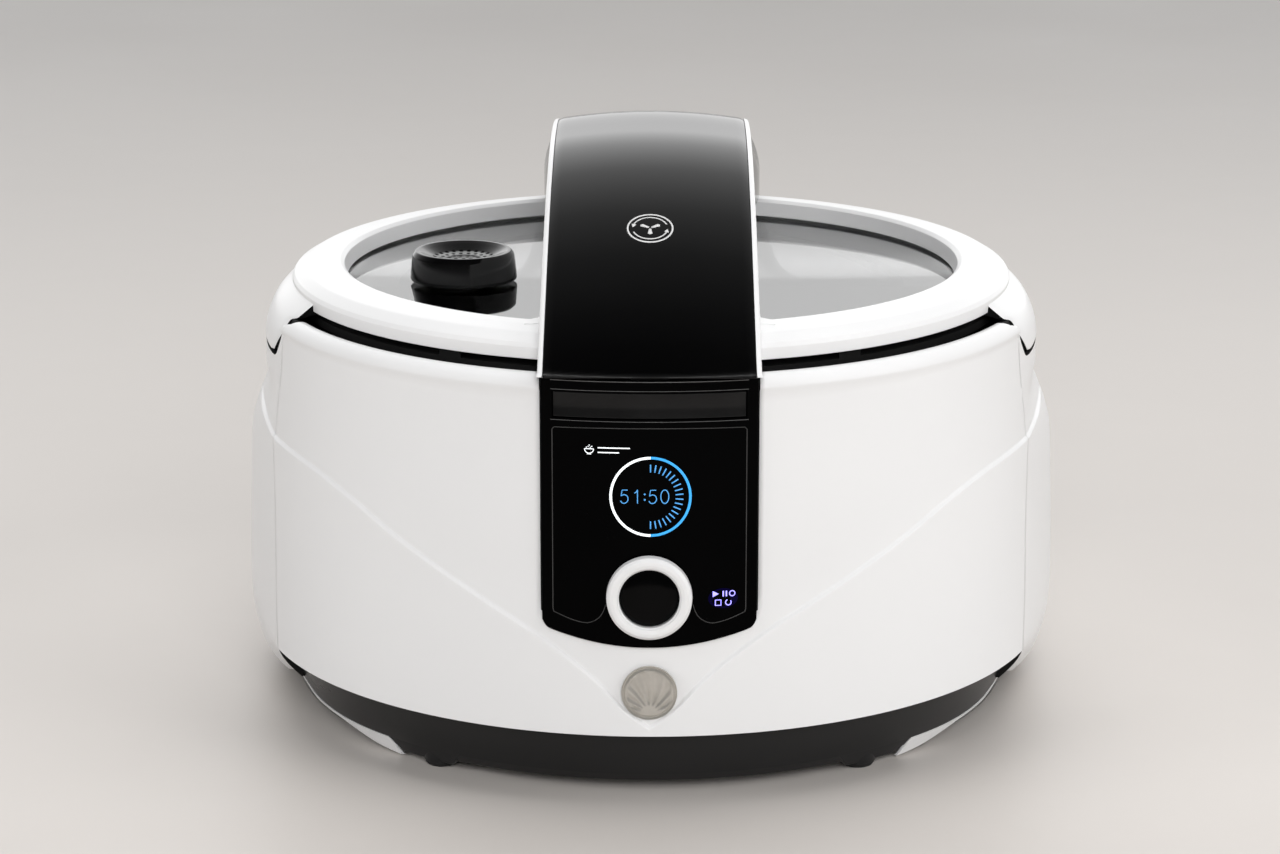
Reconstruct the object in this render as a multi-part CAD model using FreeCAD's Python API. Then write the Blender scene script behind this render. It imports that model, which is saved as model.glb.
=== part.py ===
"""Countertop rice cooker with a glass lid, a stirring drive in an arch over the lid, and a control dial.

Millimetres. +Z is up and the table is at z = 0. The front faces -Y and +X is to the right.
The origin is on the table under the middle of the cooker.
"""
import FreeCAD, Part
import math
import os

V = FreeCAD.Vector

# --- driving dimensions -------------------------------------------------------------------------
RUN = 0.06                      # radial clearance of a running fit
WALL = 2.6                      # thickness of the moulded shells

SHELL_BOTTOM_Z = 35.0           # lower lip of the front shell
SHELL_BOTTOM_R = 194.0
SHELL_MID_Z = 131.0
SHELL_MID_R = 191.0
SHELL_TOP_R = 189.4
SHOULDER_Z = 192.0              # where the shoulder starts to round over
RIM_Z = 198.5                   # top of the shell's rim
RIM_OUTER_R = 183.5
RIM_INNER_R = 180.2
FRONT_HALF_ANGLE = 76.0         # degrees each side of the front, covered by the front shell

FLANK = [                       # height and half width of the bulging flank
    (6.0, 190.0),
    (14.0, 197.5),
    (30.0, 202.6),
    (46.0, 203.6),
    (72.0, 203.0),
    (119.5, 201.0),
    (134.5, 199.0),
    (146.0, 194.5),
    (156.0, 190.6),
    (166.0, 189.2),
]
FLANK_Y = 12.0                  # where the straight flank facet ends
REAR_INSET = 6.6                # the rear lies this much nearer than the flank

SKIRT_TOP = (186.4, 33.0)       # radius and height
SKIRT_LOW = (177.5, 8.0)
SKIRT_FOOT_Z = 5.5
FOOT_X = 97.0
FOOT_Y = 138.0
FOOT_R = 8.0
BLOCK_R = 12.0

RING_OUTER_R = 175.5            # the lid's white ring
RING_INNER_R = 148.5
RING_LOW_Z = 201.0
RING_SIDE_Z = 208.5
RING_TOP_Z = 213.8
GLASS_R = 153.0
GLASS_LOW_Z = 200.2
GLASS_TOP_Z = 204.0

EAR_Y = 62.5                    # half width of an ear, front to back
EAR_LOW_Z = 169.0
EAR_OUTER_R = 189.6
EAR_INNER_R = 185.2
EAR_GAP = 3.5

ARCH_Z = 12.8                   # height of the arch's centre line
ARCH_R = 268.2                  # outer radius of the arch in the middle
CROWN_R = 286.0                 # crosswise crown of the arch
ARCH_COVER_X = 47.4             # half width of the black cover
ARCH_SIDE_X = 49.8              # half width of the white housing
ARCH_FRONT_Z = 198.9            # lower edge of the arch at the front
COVER_T = 2.6                   # thickness of the arch's black covers
REAR_COVER_Y = 66.0             # where the rear cover starts
REAR_COVER_X = 58.0

HINGE_Y = 182.0
HINGE_Z = 197.0
PIN_R = 3.0
POCKET_R = 13.2
POCKET_X = 60.0

PANEL_X = 48.5                  # control panel half width
PANEL_TOP_Z = 195.0
PANEL_CORNER_Z = 83.5
PANEL_LOW_Z = 75.0
PANEL_PROUD = 0.8
PANEL_T = 2.6
BAR_X = 42.7
BAR_LOW_Z = 179.8
BAR_TOP_Z = 191.0
DIAL_Z = 99.2
DIAL_R = 19.7
DIAL_BORE_R = 13.9
DIAL_FRONT_Y = -199.0
BADGE_Z = 54.0
BADGE_R = 12.5

POT_R = 120.0                   # outside of the pot's wall
POT_WALL = 2.0
POT_LOW_Z = 50.3
POT_TOP_Z = 190.5
POT_FLANGE_R = 132.0

STIR_GEAR_TEETH = 48
PINION_TEETH = 12
GEAR_MODULE = 1.25
GEAR_LOW_Z = 218.0
GEAR_T = 8.0
PADDLE_R = 70.0

VENT_X = -91.0
VENT_Y = -20.0
VENT_R = 26.0


# --- helpers ------------------------------------------------------------------------------------
def polygon_face(points):
    """A flat face through 3-D points."""
    corners = [V(*p) for p in points]
    return Part.Face(Part.makePolygon(corners + corners[:1]))


def revolved(profile):
    """A solid of revolution about Z from (radius, height) points."""
    return polygon_face([(r, 0, z) for r, z in profile]).revolve(V(0, 0, 0), V(0, 0, 1), 360)


def disc(radius, z0, z1, x=0.0, y=0.0):
    return Part.makeCylinder(radius, z1 - z0, V(x, y, z0))


def tube(outer, inner, z0, z1, x=0.0, y=0.0):
    return disc(outer, z0, z1, x, y).cut(disc(inner, z0 - 1, z1 + 1, x, y))


def block(x0, x1, y0, y1, z0, z1):
    return Part.makeBox(x1 - x0, y1 - y0, z1 - z0, V(x0, y0, z0))


def rod_y(radius, x, z, y0, y1):
    return Part.makeCylinder(radius, y1 - y0, V(x, y0, z), V(0, 1, 0))


def rod_x(radius, y, z, x0, x1):
    return Part.makeCylinder(radius, x1 - x0, V(x0, y, z), V(1, 0, 0))


def slab_x(points_yz, x0, x1):
    """A prism along X with a (y, z) outline."""
    return polygon_face([(x0, y, z) for y, z in points_yz]).extrude(V(x1 - x0, 0, 0))


def slab_y(points_xz, y0, y1):
    """A prism along Y with an (x, z) outline."""
    return polygon_face([(x, y0, z) for x, z in points_xz]).extrude(V(0, y1 - y0, 0))


def slab_z(points_xy, z0, z1):
    """A prism along Z with an (x, y) outline."""
    return polygon_face([(x, y, z0) for x, y in points_xy]).extrude(V(0, 0, z1 - z0))


def joined(shapes):
    first = shapes[0]
    return first.multiFuse(shapes[1:]).removeSplitter() if len(shapes) > 1 else first


def front_wedge(half_angle):
    """The sector that faces the front, as a tall prism."""
    far = 400.0
    a = math.radians(half_angle)
    edge = (far * math.sin(a), -far * math.cos(a))
    outline = [(0, 0), edge, (far, -far), (-far, -far), (-edge[0], edge[1])]
    return slab_z(outline, -10, 400)


def coil(radius, wire, length, turns, start, direction):
    """A round-wire compression spring."""
    pitch = length / turns
    helix = Part.makeHelix(pitch, length, radius)
    section = Part.Wire(Part.makeCircle(wire, V(radius, 0, 0), V(0, 1, 0)))
    spring = Part.Wire(helix.Edges).makePipeShell([section], True, True)
    spring.Placement = FreeCAD.Placement(V(*start), FreeCAD.Rotation(V(0, 0, 1), V(*direction)))
    return spring


def gear(teeth, module, z0, z1, x, y, bore, phase=0.0):
    """A spur gear with straight-flanked teeth and backlash."""
    pitch_r = teeth * module / 2
    tip_r = pitch_r + 0.85 * module
    root_r = pitch_r - 1.15 * module
    step = 2 * math.pi / teeth
    points = []
    for i in range(teeth):
        middle = phase + i * step
        for share, radius in ((-0.33, root_r), (-0.12, tip_r), (0.12, tip_r), (0.33, root_r)):
            a = middle + share * step
            points.append((x + radius * math.cos(a), y + radius * math.sin(a)))
    return slab_z(points, z0, z1).cut(disc(bore, z0 - 1, z1 + 1, x, y))


def save(name, shapes):
    """Writes one node: a solid, or a group of separate solids."""
    shapes = shapes if isinstance(shapes, list) else [shapes]
    solids = [s for shape in shapes for s in shape.Solids]
    bad = [s for s in solids if not s.isValid()]
    result = solids[0] if len(solids) == 1 else Part.makeCompound(solids)
    result.exportStep(os.path.join("parts", name + ".step"))
    print(f"{name:18s} solids {len(solids):3d} volume {sum(s.Volume for s in solids) / 1000:9.2f} cm3",
          "INVALID" if bad else "")
    made[name] = result


# --- body shells --------------------------------------------------------------------------------
def shell_profile(inset):
    """Outside of the front shell, moved in by inset."""
    return [
        (SHELL_BOTTOM_R - inset, SHELL_BOTTOM_Z),
        (SHELL_BOTTOM_R - 0.9 - inset, 60.0),
        (SHELL_MID_R + 0.7 - inset, 100.0),
        (SHELL_MID_R - inset, SHELL_MID_Z),
        (SHELL_TOP_R + 0.3 - inset, 168.0),
        (SHELL_TOP_R - inset, SHOULDER_Z - inset),
    ]


def shoulder(inset):
    """The rounded shoulder from the wall to the rim's flat top."""
    reach = SHELL_TOP_R - RIM_OUTER_R
    rise = RIM_Z - SHOULDER_Z
    steps = 5
    points = []
    for i in range(1, steps + 1):
        a = math.pi / 2 * i / steps
        points.append((RIM_OUTER_R + (reach - inset) * math.cos(a),
                       SHOULDER_Z - inset + rise * math.sin(a)))
    return points


def shell_radius(z):
    """Outer radius of the front shell's wall at a height."""
    points = shell_profile(0.0)
    for (r0, z0), (r1, z1) in zip(points, points[1:]):
        if z <= z1:
            return r0 + (r1 - r0) * (z - z0) / (z1 - z0)
    return points[-1][0]


def ear_outline(gap):
    """Side view of an ear, grown by gap on its front, back and lower edges."""
    half = [
        (EAR_Y + gap, 230.0),
        (EAR_Y + gap, 184.0),
        (EAR_Y - 3.0 + gap, 178.0 - gap * 0.4),
        (EAR_Y - 14.0 + gap * 0.6, EAR_LOW_Z - gap * 0.8),
    ]
    return [(-y, z) for y, z in half] + [(y, z) for y, z in reversed(half)]


def ear_zone(gap, inner_x=150.0):
    """Both ear regions, as prisms that reach through the walls."""
    return slab_x(ear_outline(gap), inner_x, 230.0).fuse(slab_x(ear_outline(gap), -230.0, -inner_x))


def panel_outline(grow):
    """Front view of the control panel: straight sides and a sagging lower edge."""
    sag = [(PANEL_X + grow, PANEL_CORNER_Z + 3.0)]
    steps = 8
    for i in range(steps + 1):
        x = (PANEL_X - 2.0) * (1 - 2 * i / steps)
        drop = (PANEL_CORNER_Z - PANEL_LOW_Z) * (1 - (x / PANEL_X) ** 2)
        sag.append((x, PANEL_CORNER_Z - drop - grow))
    sag.append((-PANEL_X - grow, PANEL_CORNER_Z + 3.0))
    return [(PANEL_X + grow, 230.0)] + sag + [(-PANEL_X - grow, 230.0)]


def make_front_shell():
    outer = shell_profile(0.0) + shoulder(0.0)
    inner = shell_profile(WALL) + shoulder(WALL)
    lip = [(RIM_INNER_R, RIM_Z), (RIM_INNER_R, RIM_Z - WALL)]
    shell = revolved(outer + lip + list(reversed(inner)))
    shell = shell.common(front_wedge(FRONT_HALF_ANGLE - 0.1))
    window = slab_y(panel_outline(0.3), -230, -150)
    recess = rod_y(BADGE_R + 0.3, 0, BADGE_Z, -200, -shell_radius(BADGE_Z) + 1.5)
    return shell.cut(ear_zone(EAR_GAP)).cut(window).cut(recess)


def flank_wire(z, half_width, inset):
    """Plan of the body at one height, closed by an arc across the front."""
    front_r = min(shell_radius(max(z, SHELL_BOTTOM_Z)), 190.0)
    if z < SHELL_BOTTOM_Z:
        front_r = 183.0 + (190.0 - 183.0) * (z - 6.0) / (SHELL_BOTTOM_Z - 6.0)
    front_r -= inset
    wide = half_width - inset
    a = math.radians(FRONT_HALF_ANGLE)
    p = V(front_r * math.sin(a), -front_r * math.cos(a), z)
    q = V(wide - 0.9, FLANK_Y, z)
    rear = V(0, wide - REAR_INSET * min(1.0, (half_width - 189.0) / 10.0), z)
    front = V(0, -front_r, z)
    pm = V(-p.x, p.y, z)
    qm = V(-q.x, q.y, z)
    edges = [
        Part.makeLine(p, q),
        Part.Arc(q, rear, qm).toShape(),
        Part.makeLine(qm, pm),
        Part.Arc(pm, front, p).toShape(),
    ]
    return Part.Wire(edges)


def flank_solid(inset):
    levels = list(FLANK)
    if inset:
        levels[0] = (FLANK[0][0] + inset, FLANK[0][1] + inset)
    return Part.makeLoft([flank_wire(z, x, inset) for z, x in levels], True, True)


def make_rear_shell():
    top_r = FLANK[-1][1]
    join_z = FLANK[-1][0]
    cap = [(0, join_z), (top_r, join_z), (top_r, SHOULDER_Z)] + shoulder(0.0) + [(0, RIM_Z)]
    hollow = [(0, join_z - 1), (top_r - WALL, join_z - 1), (top_r - WALL, SHOULDER_Z - WALL)]
    hollow += shoulder(WALL) + [(RIM_INNER_R, RIM_Z - WALL), (RIM_INNER_R, RIM_Z + 1), (0, RIM_Z + 1)]
    outer = flank_solid(0.0).fuse(revolved(cap))
    inner = flank_solid(WALL).fuse(revolved(hollow))
    floor_hole = disc(181.5, 0, 20)
    shell = outer.cut(inner).cut(floor_hole).cut(front_wedge(FRONT_HALF_ANGLE + 0.1))
    shell = shell.cut(ear_zone(EAR_GAP)).cut(block(-62.3, 62.3, 150, 230, 134.7, 210))
    inlet_hole = block(-16.3, 16.3, 150, 230, 33.7, 60.3)
    return shell.cut(inlet_hole)


def make_base_skirt():
    outer = [SKIRT_TOP, SKIRT_LOW, (SKIRT_LOW[0] - 1.5, SKIRT_FOOT_Z)]
    inner = [(172.3, SKIRT_FOOT_Z), (172.3, 9.8), (183.6, SKIRT_TOP[1])]
    skirt = revolved(outer + inner)
    blocks = [disc(BLOCK_R, 4.2, 10.0, sx * FOOT_X, sy * FOOT_Y) for sx in (-1, 1) for sy in (-1, 1)]
    seats = [disc(FOOT_R, 3.0, 6.5, sx * FOOT_X, sy * FOOT_Y) for sx in (-1, 1) for sy in (-1, 1)]
    bosses = [tube(5.0, 1.8, 9.6, 24.0, 166 * math.cos(a), 166 * math.sin(a)) for a in screw_angles()]
    plate_room = disc(171.9, 6.4, 9.6)
    return [joined([skirt] + blocks).cut(joined(seats)).cut(plate_room)] + bosses


def screw_angles():
    return [math.radians(30 + 60 * i) for i in range(6)]


def make_bottom_plate():
    plate = disc(171.7, 6.6, 9.4)
    for i in range(-5, 6):
        plate = plate.cut(block(i * 9 - 1.5, i * 9 + 1.5, 70, 120, 0, 12))
    for sx in (-1, 1):
        for sy in (-1, 1):
            plate = plate.cut(disc(BLOCK_R + 0.4, 0, 12, sx * FOOT_X, sy * FOOT_Y))
    for a in screw_angles():
        plate = plate.cut(disc(1.9, 0, 12, 166 * math.cos(a), 166 * math.sin(a)))
    return plate


def make_rubber_feet():
    feet = []
    for sx in (-1, 1):
        for sy in (-1, 1):
            foot = disc(FOOT_R - 0.1, 0, 6.4, sx * FOOT_X, sy * FOOT_Y)
            feet.append(foot.makeChamfer(1.2, [e for e in foot.Edges if e.BoundBox.ZMax < 0.1]))
    return feet


def make_base_screws():
    screws = []
    for a in screw_angles():
        x, y = 166 * math.cos(a), 166 * math.sin(a)
        screws.append(disc(1.75, 6.5, 18.0, x, y).fuse(disc(3.2, 5.0, 6.6, x, y)))
    return screws


def make_corner_trims():
    """Pale trims low on the body between the skirt and the flank, each side of the front."""
    profile = [(184.0, 14.0), (180.0, 6.0), (178.4, 6.0), (181.6, 14.0)]
    ring = revolved(profile)
    return [ring.common(front_wedge(64)).cut(front_wedge(41)).common(block(s0, s1, -230, 0, 0, 30))
            for s0, s1 in ((0, 230), (-230, 0))]


def make_upper_rim():
    profile = [(133.2, 186.5), (179.6, 186.5), (179.6, 194.0), (177.4, 194.0), (177.4, 189.0),
               (133.2, 189.0)]
    rim = revolved(profile).fuse(tube(133.2, 125.5, 184.0, 187.6))
    rim = rim.cut(block(-12.5, 12.5, -190, -168, 180, 200))
    return rim.cut(rod_x(POCKET_R, HINGE_Y, HINGE_Z, -POCKET_X, POCKET_X))


def make_grip_recesses():
    """Dark liners behind the ears."""
    profile = [(180.0, 157.0), (184.0, 157.0), (184.0, 159.4), (182.6, 159.4), (182.6, 197.4),
               (180.0, 197.4)]
    ring = revolved(profile)
    right = ring.common(block(150, 200, -EAR_Y - 3, EAR_Y + 3, 150, 200))
    left = ring.common(block(-200, -150, -EAR_Y - 3, EAR_Y + 3, 150, 200))
    return [right, left]


# --- hinge and inlet ----------------------------------------------------------------------------
def hinge_pocket(radius=POCKET_R, half=POCKET_X):
    return rod_x(radius, HINGE_Y, HINGE_Z, -half, half)


def make_hinge_housing():
    outline = [(181.5, 135.2), (191.0, 135.2), (197.5, 146.0), (199.0, 156.0), (199.0, 192.0),
               (198.0, 196.5), (190.5, 198.0), (181.5, 198.0)]
    hollow = [(180.0, 138.0), (189.0, 138.0), (194.6, 148.0), (196.0, 157.0), (196.0, 180.0),
              (180.0, 180.0)]
    shell = slab_x(outline, -62.0, 62.0).cut(slab_x(hollow, -59.0, 59.0))
    inner_room = rod_x(POCKET_R + 1.8, HINGE_Y, HINGE_Z, -59.0, 59.0)
    shell = shell.cut(slab_x([(180, 183), (187.0, 183), (187.0, 178), (180, 178)], -59.0, 59.0))
    shell = shell.cut(inner_room.common(block(-59, 59, 170, 187, 170, 190)))
    return shell.cut(hinge_pocket())


def make_hinge_bracket():
    base = block(-55, 55, 174.5, 186.0, 181.0, 183.4)
    parts = [base]
    for x0, x1 in ((46, 54), (-54, -46)):
        parts.append(block(x0, x1, 176.0, 184.0, 183.0, 197.0))
        parts.append(rod_x(6.6, HINGE_Y, HINGE_Z, x0, x1))
    return joined(parts).cut(rod_x(PIN_R, HINGE_Y, HINGE_Z, -60, 60))


def make_hinge_pin():
    return rod_x(PIN_R, HINGE_Y, HINGE_Z, -56.5, 56.5)


def make_lid_knuckle():
    arms = []
    for x0, x1 in ((15, 44.5), (-44.5, -15)):
        arms.append(rod_x(7.4, HINGE_Y, HINGE_Z, x0, x1))
        arms.append(block(x0, x1, 160.0, 180.0, 197.6, 200.8))
    arms.append(block(-44.5, 44.5, 156.0, 168.0, 197.6, 200.0))
    return joined(arms).cut(rod_x(PIN_R + RUN, HINGE_Y, HINGE_Z, -60, 60))


def make_power_inlet():
    y0, y1 = 174.0, 198.8
    body = block(-16.0, 16.0, y0, y1 - 1.0, 34.0, 60.0)
    flange = block(-20.0, 20.0, 197.1, y1, 30.0, 64.0)
    cavity = block(-12.5, 12.5, y1 - 16.0, y1 + 1, 38.5, 55.5)
    return body.fuse(flange).removeSplitter().cut(cavity)


def make_inlet_pins():
    pins = []
    for x, z in ((-7.0, 44.5), (7.0, 44.5), (0.0, 49.5)):
        pins.append(block(x - 1.0, x + 1.0, 182.8, 191.5, z - 2.0, z + 2.0))
    return pins


# --- heating and pot ----------------------------------------------------------------------------
def make_inner_pot():
    r = POT_R
    outer = [(0, POT_LOW_Z), (r - 14, POT_LOW_Z), (r - 6, POT_LOW_Z + 2.2), (r - 1.5, POT_LOW_Z + 8),
             (r, POT_LOW_Z + 15), (r, POT_TOP_Z - 2), (POT_FLANGE_R, POT_TOP_Z - 2)]
    inner = [(POT_FLANGE_R, POT_TOP_Z), (r - POT_WALL, POT_TOP_Z), (r - POT_WALL, POT_LOW_Z + 15.5),
             (r - 3.5, POT_LOW_Z + 9), (r - 7.6, POT_LOW_Z + 4), (r - 14.5, POT_LOW_Z + POT_WALL),
             (0, POT_LOW_Z + POT_WALL)]
    return revolved(outer + inner)


def make_heat_shield():
    profile = [(17.0, 36.0), (129.0, 36.0), (129.0, 183.0), (140.0, 183.0), (140.0, 184.0),
               (128.0, 184.0), (128.0, 37.0), (17.0, 37.0)]
    return revolved(profile)


def make_heating_plate():
    return revolved([(17.0, 44.2), (100.0, 44.2), (104.0, 48.0), (104.0, 50.0), (17.0, 50.0)])


def make_heater_element():
    return Part.makeTorus(82.0, 3.3, V(0, 0, 40.7))


def make_plate_supports():
    posts = []
    for i in range(3):
        a = math.radians(90 + 120 * i)
        posts.append(disc(5.0, 37.0, 44.2, 62 * math.cos(a), 62 * math.sin(a)))
    return posts


def make_sensor_cup():
    profile = [(5.0 + RUN, 22.0), (14.0, 22.0), (14.0, 35.9), (12.6, 35.9), (12.6, 24.0), (5.0 + RUN, 24.0)]
    return revolved(profile)


def make_sensor_plunger():
    return disc(15.0, 47.0, POT_LOW_Z - 0.05).fuse(disc(5.0, 18.0, 47.0)).removeSplitter()


def make_sensor_spring():
    return coil(8.0, 0.7, 19.0, 6, (0, 0, 25.2), (0, 0, 1))


def make_thermal_fuse():
    return rod_x(3.0, -40, 32.0, -14, 14)


def make_power_board():
    board = block(-62, 62, 58, 132, 15.0, 16.6)
    parts = [board, disc(9.0, 16.6, 32.0, -40, 80), disc(6.0, 16.6, 30.0, -20, 118),
             block(5, 33, 70, 90, 16.6, 32.0), block(40, 56, 66, 82, 16.6, 31.0),
             block(-5, 20, 104, 126, 16.6, 30.0)]
    parts += [disc(3.0, 9.4, 15.0, x, y) for x in (-56, 56) for y in (64, 126)]
    return joined(parts)


def make_wire_harness():
    """Three insulated wires from the power board along the base and up to the control board."""
    wires = []
    for i in range(3):
        x = 24.0 + 5.0 * i
        radius = 1.4
        corners = [(x, 57.0, 20.0), (x, 40.0, 20.0), (x, 22.0, 13.0), (x, -158.0, 13.0),
                   (x, -166.0, 24.0), (x, -166.0, 84.0), (x, -169.8, 89.0)]
        pieces = []
        for start, end in zip(corners, corners[1:]):
            run = V(*end).sub(V(*start))
            pieces.append(Part.makeCylinder(radius, run.Length, V(*start), run))
        pieces += [Part.makeSphere(radius, V(*p)) for p in corners[1:-1]]
        wires.append(joined(pieces))
    return wires


# --- control panel ------------------------------------------------------------------------------
def panel_wall(proud, thickness, z0, z1):
    r0 = shell_radius(z0) + proud
    r1 = shell_radius(z1) + proud
    return revolved([(r0, z0), (r1, z1), (r1 - thickness, z1), (r0 - thickness, z0)])


def make_panel_cover():
    wall = panel_wall(PANEL_PROUD, PANEL_T, 70.0, PANEL_TOP_Z)
    top = revolved([(RIM_INNER_R, PANEL_TOP_Z - 1.6), (SHELL_TOP_R - 1.0, PANEL_TOP_Z - 1.6),
                    (SHELL_TOP_R - 1.0, PANEL_TOP_Z), (RIM_INNER_R, PANEL_TOP_Z)])
    panel = wall.fuse(top).removeSplitter().common(slab_y(panel_outline(0.0), -230, -150))
    bar_window = block(-BAR_X - 0.35, BAR_X + 0.35, -200, -177.0, BAR_LOW_Z - 0.35, BAR_TOP_Z + 0.35)
    latch_slot = block(-10.5, 10.5, -186.0, -170.0, 192.5, 200.0)
    dial_hole = rod_y(7.5 + RUN, 0, DIAL_Z, -200, -180)
    return panel.cut(bar_window).cut(latch_slot).cut(dial_hole)


def make_touch_lens():
    """Thin lens of the start and stop key, let into the panel's face from behind."""
    x = 33.0
    r = shell_radius(DIAL_Z) + PANEL_PROUD - PANEL_T
    ring = tube(r - 0.05, r - 1.4, 90.0, 111.0)
    return ring.common(block(x - 9, x + 9, -230, -150, 91.0, 110.0))


def make_release_bar():
    ring = tube(shell_radius(185.0) + 0.1, shell_radius(185.0) - 3.4, BAR_LOW_Z, BAR_TOP_Z)
    bar = ring.common(block(-BAR_X, BAR_X, -230, -150, 0, 230))
    boss = block(-9, 9, -187.5, -179.0, 181.5, 187.5)
    return bar.fuse(boss).removeSplitter()


def make_latch_hook():
    plate = block(-9, 9, -178.9, -176.4, 178.5, 195.6)
    nose = block(-9, 9, -180.2, -178.9, 193.4, 195.6)
    return joined([plate, nose])


def make_latch_spring():
    return coil(3.0, 0.45, 7.0, 6, (0, -172.6, 183.0), (0, 1, 0))


def make_latch_catch():
    plate = block(-8, 8, -184.2, -182.2, 191.9, 200.6)
    lip = block(-8, 8, -182.2, -180.7, 191.9, 192.9)
    return joined([plate, lip])


def turned_to_front(profile):
    """A solid of revolution about the dial's axis from (radius, depth behind the dial's front) points."""
    body = revolved(profile)
    body.Placement = FreeCAD.Placement(V(0, DIAL_FRONT_Y, DIAL_Z), FreeCAD.Rotation(V(0, 0, 1), V(0, 1, 0)))
    return body


def make_dial_ring():
    return turned_to_front([
        (DIAL_BORE_R, 0.6), (DIAL_BORE_R + 1.0, 0.0), (DIAL_R - 2.4, 0.0), (DIAL_R - 0.8, 0.6),
        (DIAL_R, 2.2), (DIAL_R, 5.4), (7.5, 5.4), (7.5, 12.0), (4.8 + RUN, 12.0),
        (4.8 + RUN, 4.5), (DIAL_BORE_R, 4.5)])


def make_dial_button():
    dome = [(0.0, 0.8), (5.0, 1.1), (9.0, 1.7), (12.0, 2.4), (13.5, 2.9)]
    return turned_to_front(dome + [(13.5, 3.4), (4.8, 3.4), (4.8, 13.2), (0.0, 13.2)])


def make_button_spring():
    return coil(2.0, 0.35, 3.3, 3, (0, -184.3, DIAL_Z), (0, 1, 0))


def make_encoder():
    body = block(-9, 9, -180.2, -176.2, DIAL_Z - 9, DIAL_Z + 9)
    bush = rod_y(4.2, 0, DIAL_Z, -183.6, -180.0).cut(rod_y(3.0, 0, DIAL_Z, -184.0, -180.6))
    return body.fuse(bush).removeSplitter()


def make_control_board():
    board = block(-40, 40, -176.0, -174.4, 84, 176)
    chips = [block(-24, -10, -174.4, -172.6, 110, 124), block(8, 18, -174.4, -172.8, 130, 140)]
    plug = block(20, 38, -174.4, -171.6, 84.5, 94)
    return joined([board, plug] + chips)


def make_display_module():
    frame = block(-28, 28, -184.4, -176.1, 122, 169)
    return frame


def make_badge():
    r = shell_radius(BADGE_Z)
    plate = rod_y(BADGE_R, 0, BADGE_Z, -r + 0.3, -r + 1.5)
    return plate


# --- lid ----------------------------------------------------------------------------------------
def make_lid_frame():
    ring = revolved([
        (RING_OUTER_R, RING_LOW_Z), (RING_OUTER_R - 0.3, RING_SIDE_Z - 2.0),
        (RING_OUTER_R - 1.5, RING_SIDE_Z), (169.0, 211.6), (160.0, 213.2),
        (151.5, RING_TOP_Z), (149.2, RING_TOP_Z - 0.6),
        (RING_INNER_R, RING_TOP_Z - 2.0), (RING_INNER_R, GLASS_TOP_Z + 0.2),
        (GLASS_R + 0.4, GLASS_TOP_Z + 0.2), (GLASS_R + 0.4, RING_LOW_Z)])
    ear = revolved([
        (173.5, 201.2), (173.5, 208.0), (178.5, 206.0), (183.5, 201.8), (187.2, 195.5), (189.2, 187.0),
        (EAR_OUTER_R, 179.0), (188.8, 172.5), (187.4, EAR_LOW_Z), (EAR_INNER_R + 0.4, EAR_LOW_Z),
        (EAR_INNER_R, 175.0), (EAR_INNER_R, 189.0), (182.8, 198.4), (179.0, 201.2)])
    ears = ear.common(ear_zone(0.0))
    bridge = block(-50.5, 50.5, -160, 160, RING_TOP_Z - 5.0, RING_TOP_Z).common(disc(151.0, 200, 220))
    frame = joined([ring, ears, bridge])
    frame = frame.cut(disc(5.6 + 3.0, 200, 220))
    catch_seat = block(-8.3, 8.3, -185, -181.6, 190, 202)
    for x, y in lid_screw_places():
        frame = frame.cut(disc(1.5, 200, 203.2, x, y))
    return frame.cut(catch_seat)


def make_lid_glass():
    glass = disc(GLASS_R, GLASS_LOW_Z, GLASS_TOP_Z)
    return glass.cut(disc(12.0, 190, 220, VENT_X, VENT_Y)).cut(disc(10.0, 190, 220))


def make_glass_gasket():
    profile = [(149.0, 197.6), (155.6, 197.6), (155.6, 200.9), (GLASS_R + 0.2, 200.9),
               (GLASS_R + 0.2, 200.1), (149.0, 200.1)]
    return revolved(profile)


def make_lid_liner():
    liner = revolved([(122.5, 193.6), (172.0, 193.6), (172.0, 197.4), (150.0, 197.4), (122.5, 196.0)])
    collar = tube(172.0, 156.0, 197.4, 200.9)
    lugs = []
    for x in (-90, 90):
        lugs.append(collar.common(block(x - 5, x + 5, -200, -100, 190, 210)))
        lugs.append(collar.common(block(x - 5, x + 5, 100, 200, 190, 210)))
    liner = joined([liner] + lugs)
    for x, y in lid_screw_places():
        liner = liner.cut(disc(1.6, 190, 205, x, y))
    return liner.cut(disc(1.0, 190, 200, 130, 0))


def lid_screw_places():
    return [(sx * 90.0, sy * 134.0) for sx in (-1, 1) for sy in (-1, 1)]


def make_lid_screws():
    screws = []
    for x, y in lid_screw_places():
        shank = disc(1.5, 193.4, 203.0, x, y)
        head = disc(3.0, 192.0, 193.55, x, y)
        screws.append(shank.fuse(head))
    return screws


def make_lid_seal():
    profile = [(123.0, 190.8), (129.5, 190.8), (131.5, 193.5), (122.5, 193.5)]
    return revolved(profile)


def crowned(radius_drop, half_x, low_radius):
    """A lengthwise arch body about the cooker's crosswise axis, with a crowned top."""
    steps = 12
    top = []
    for i in range(steps + 1):
        x = half_x * (1 - 2 * i / steps)
        crown = CROWN_R - math.sqrt(CROWN_R ** 2 - x ** 2)
        top.append((x, 0, ARCH_Z + ARCH_R - crown - radius_drop))
    outline = top + [(-half_x, 0, ARCH_Z + low_radius), (half_x, 0, ARCH_Z + low_radius)]
    face = polygon_face(outline)
    axis_point = V(0, 0, ARCH_Z)
    face.rotate(axis_point, V(1, 0, 0), 50)
    return face.revolve(axis_point, V(1, 0, 0), -100)


def below_arch():
    """Everything under the arch: the lid's ring with its bridge, and the body in front of it."""
    return disc(RING_OUTER_R + 0.6, 0, RING_TOP_Z + 0.15).fuse(block(-230, 230, -230, 230, 0, ARCH_FRONT_Z))


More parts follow.
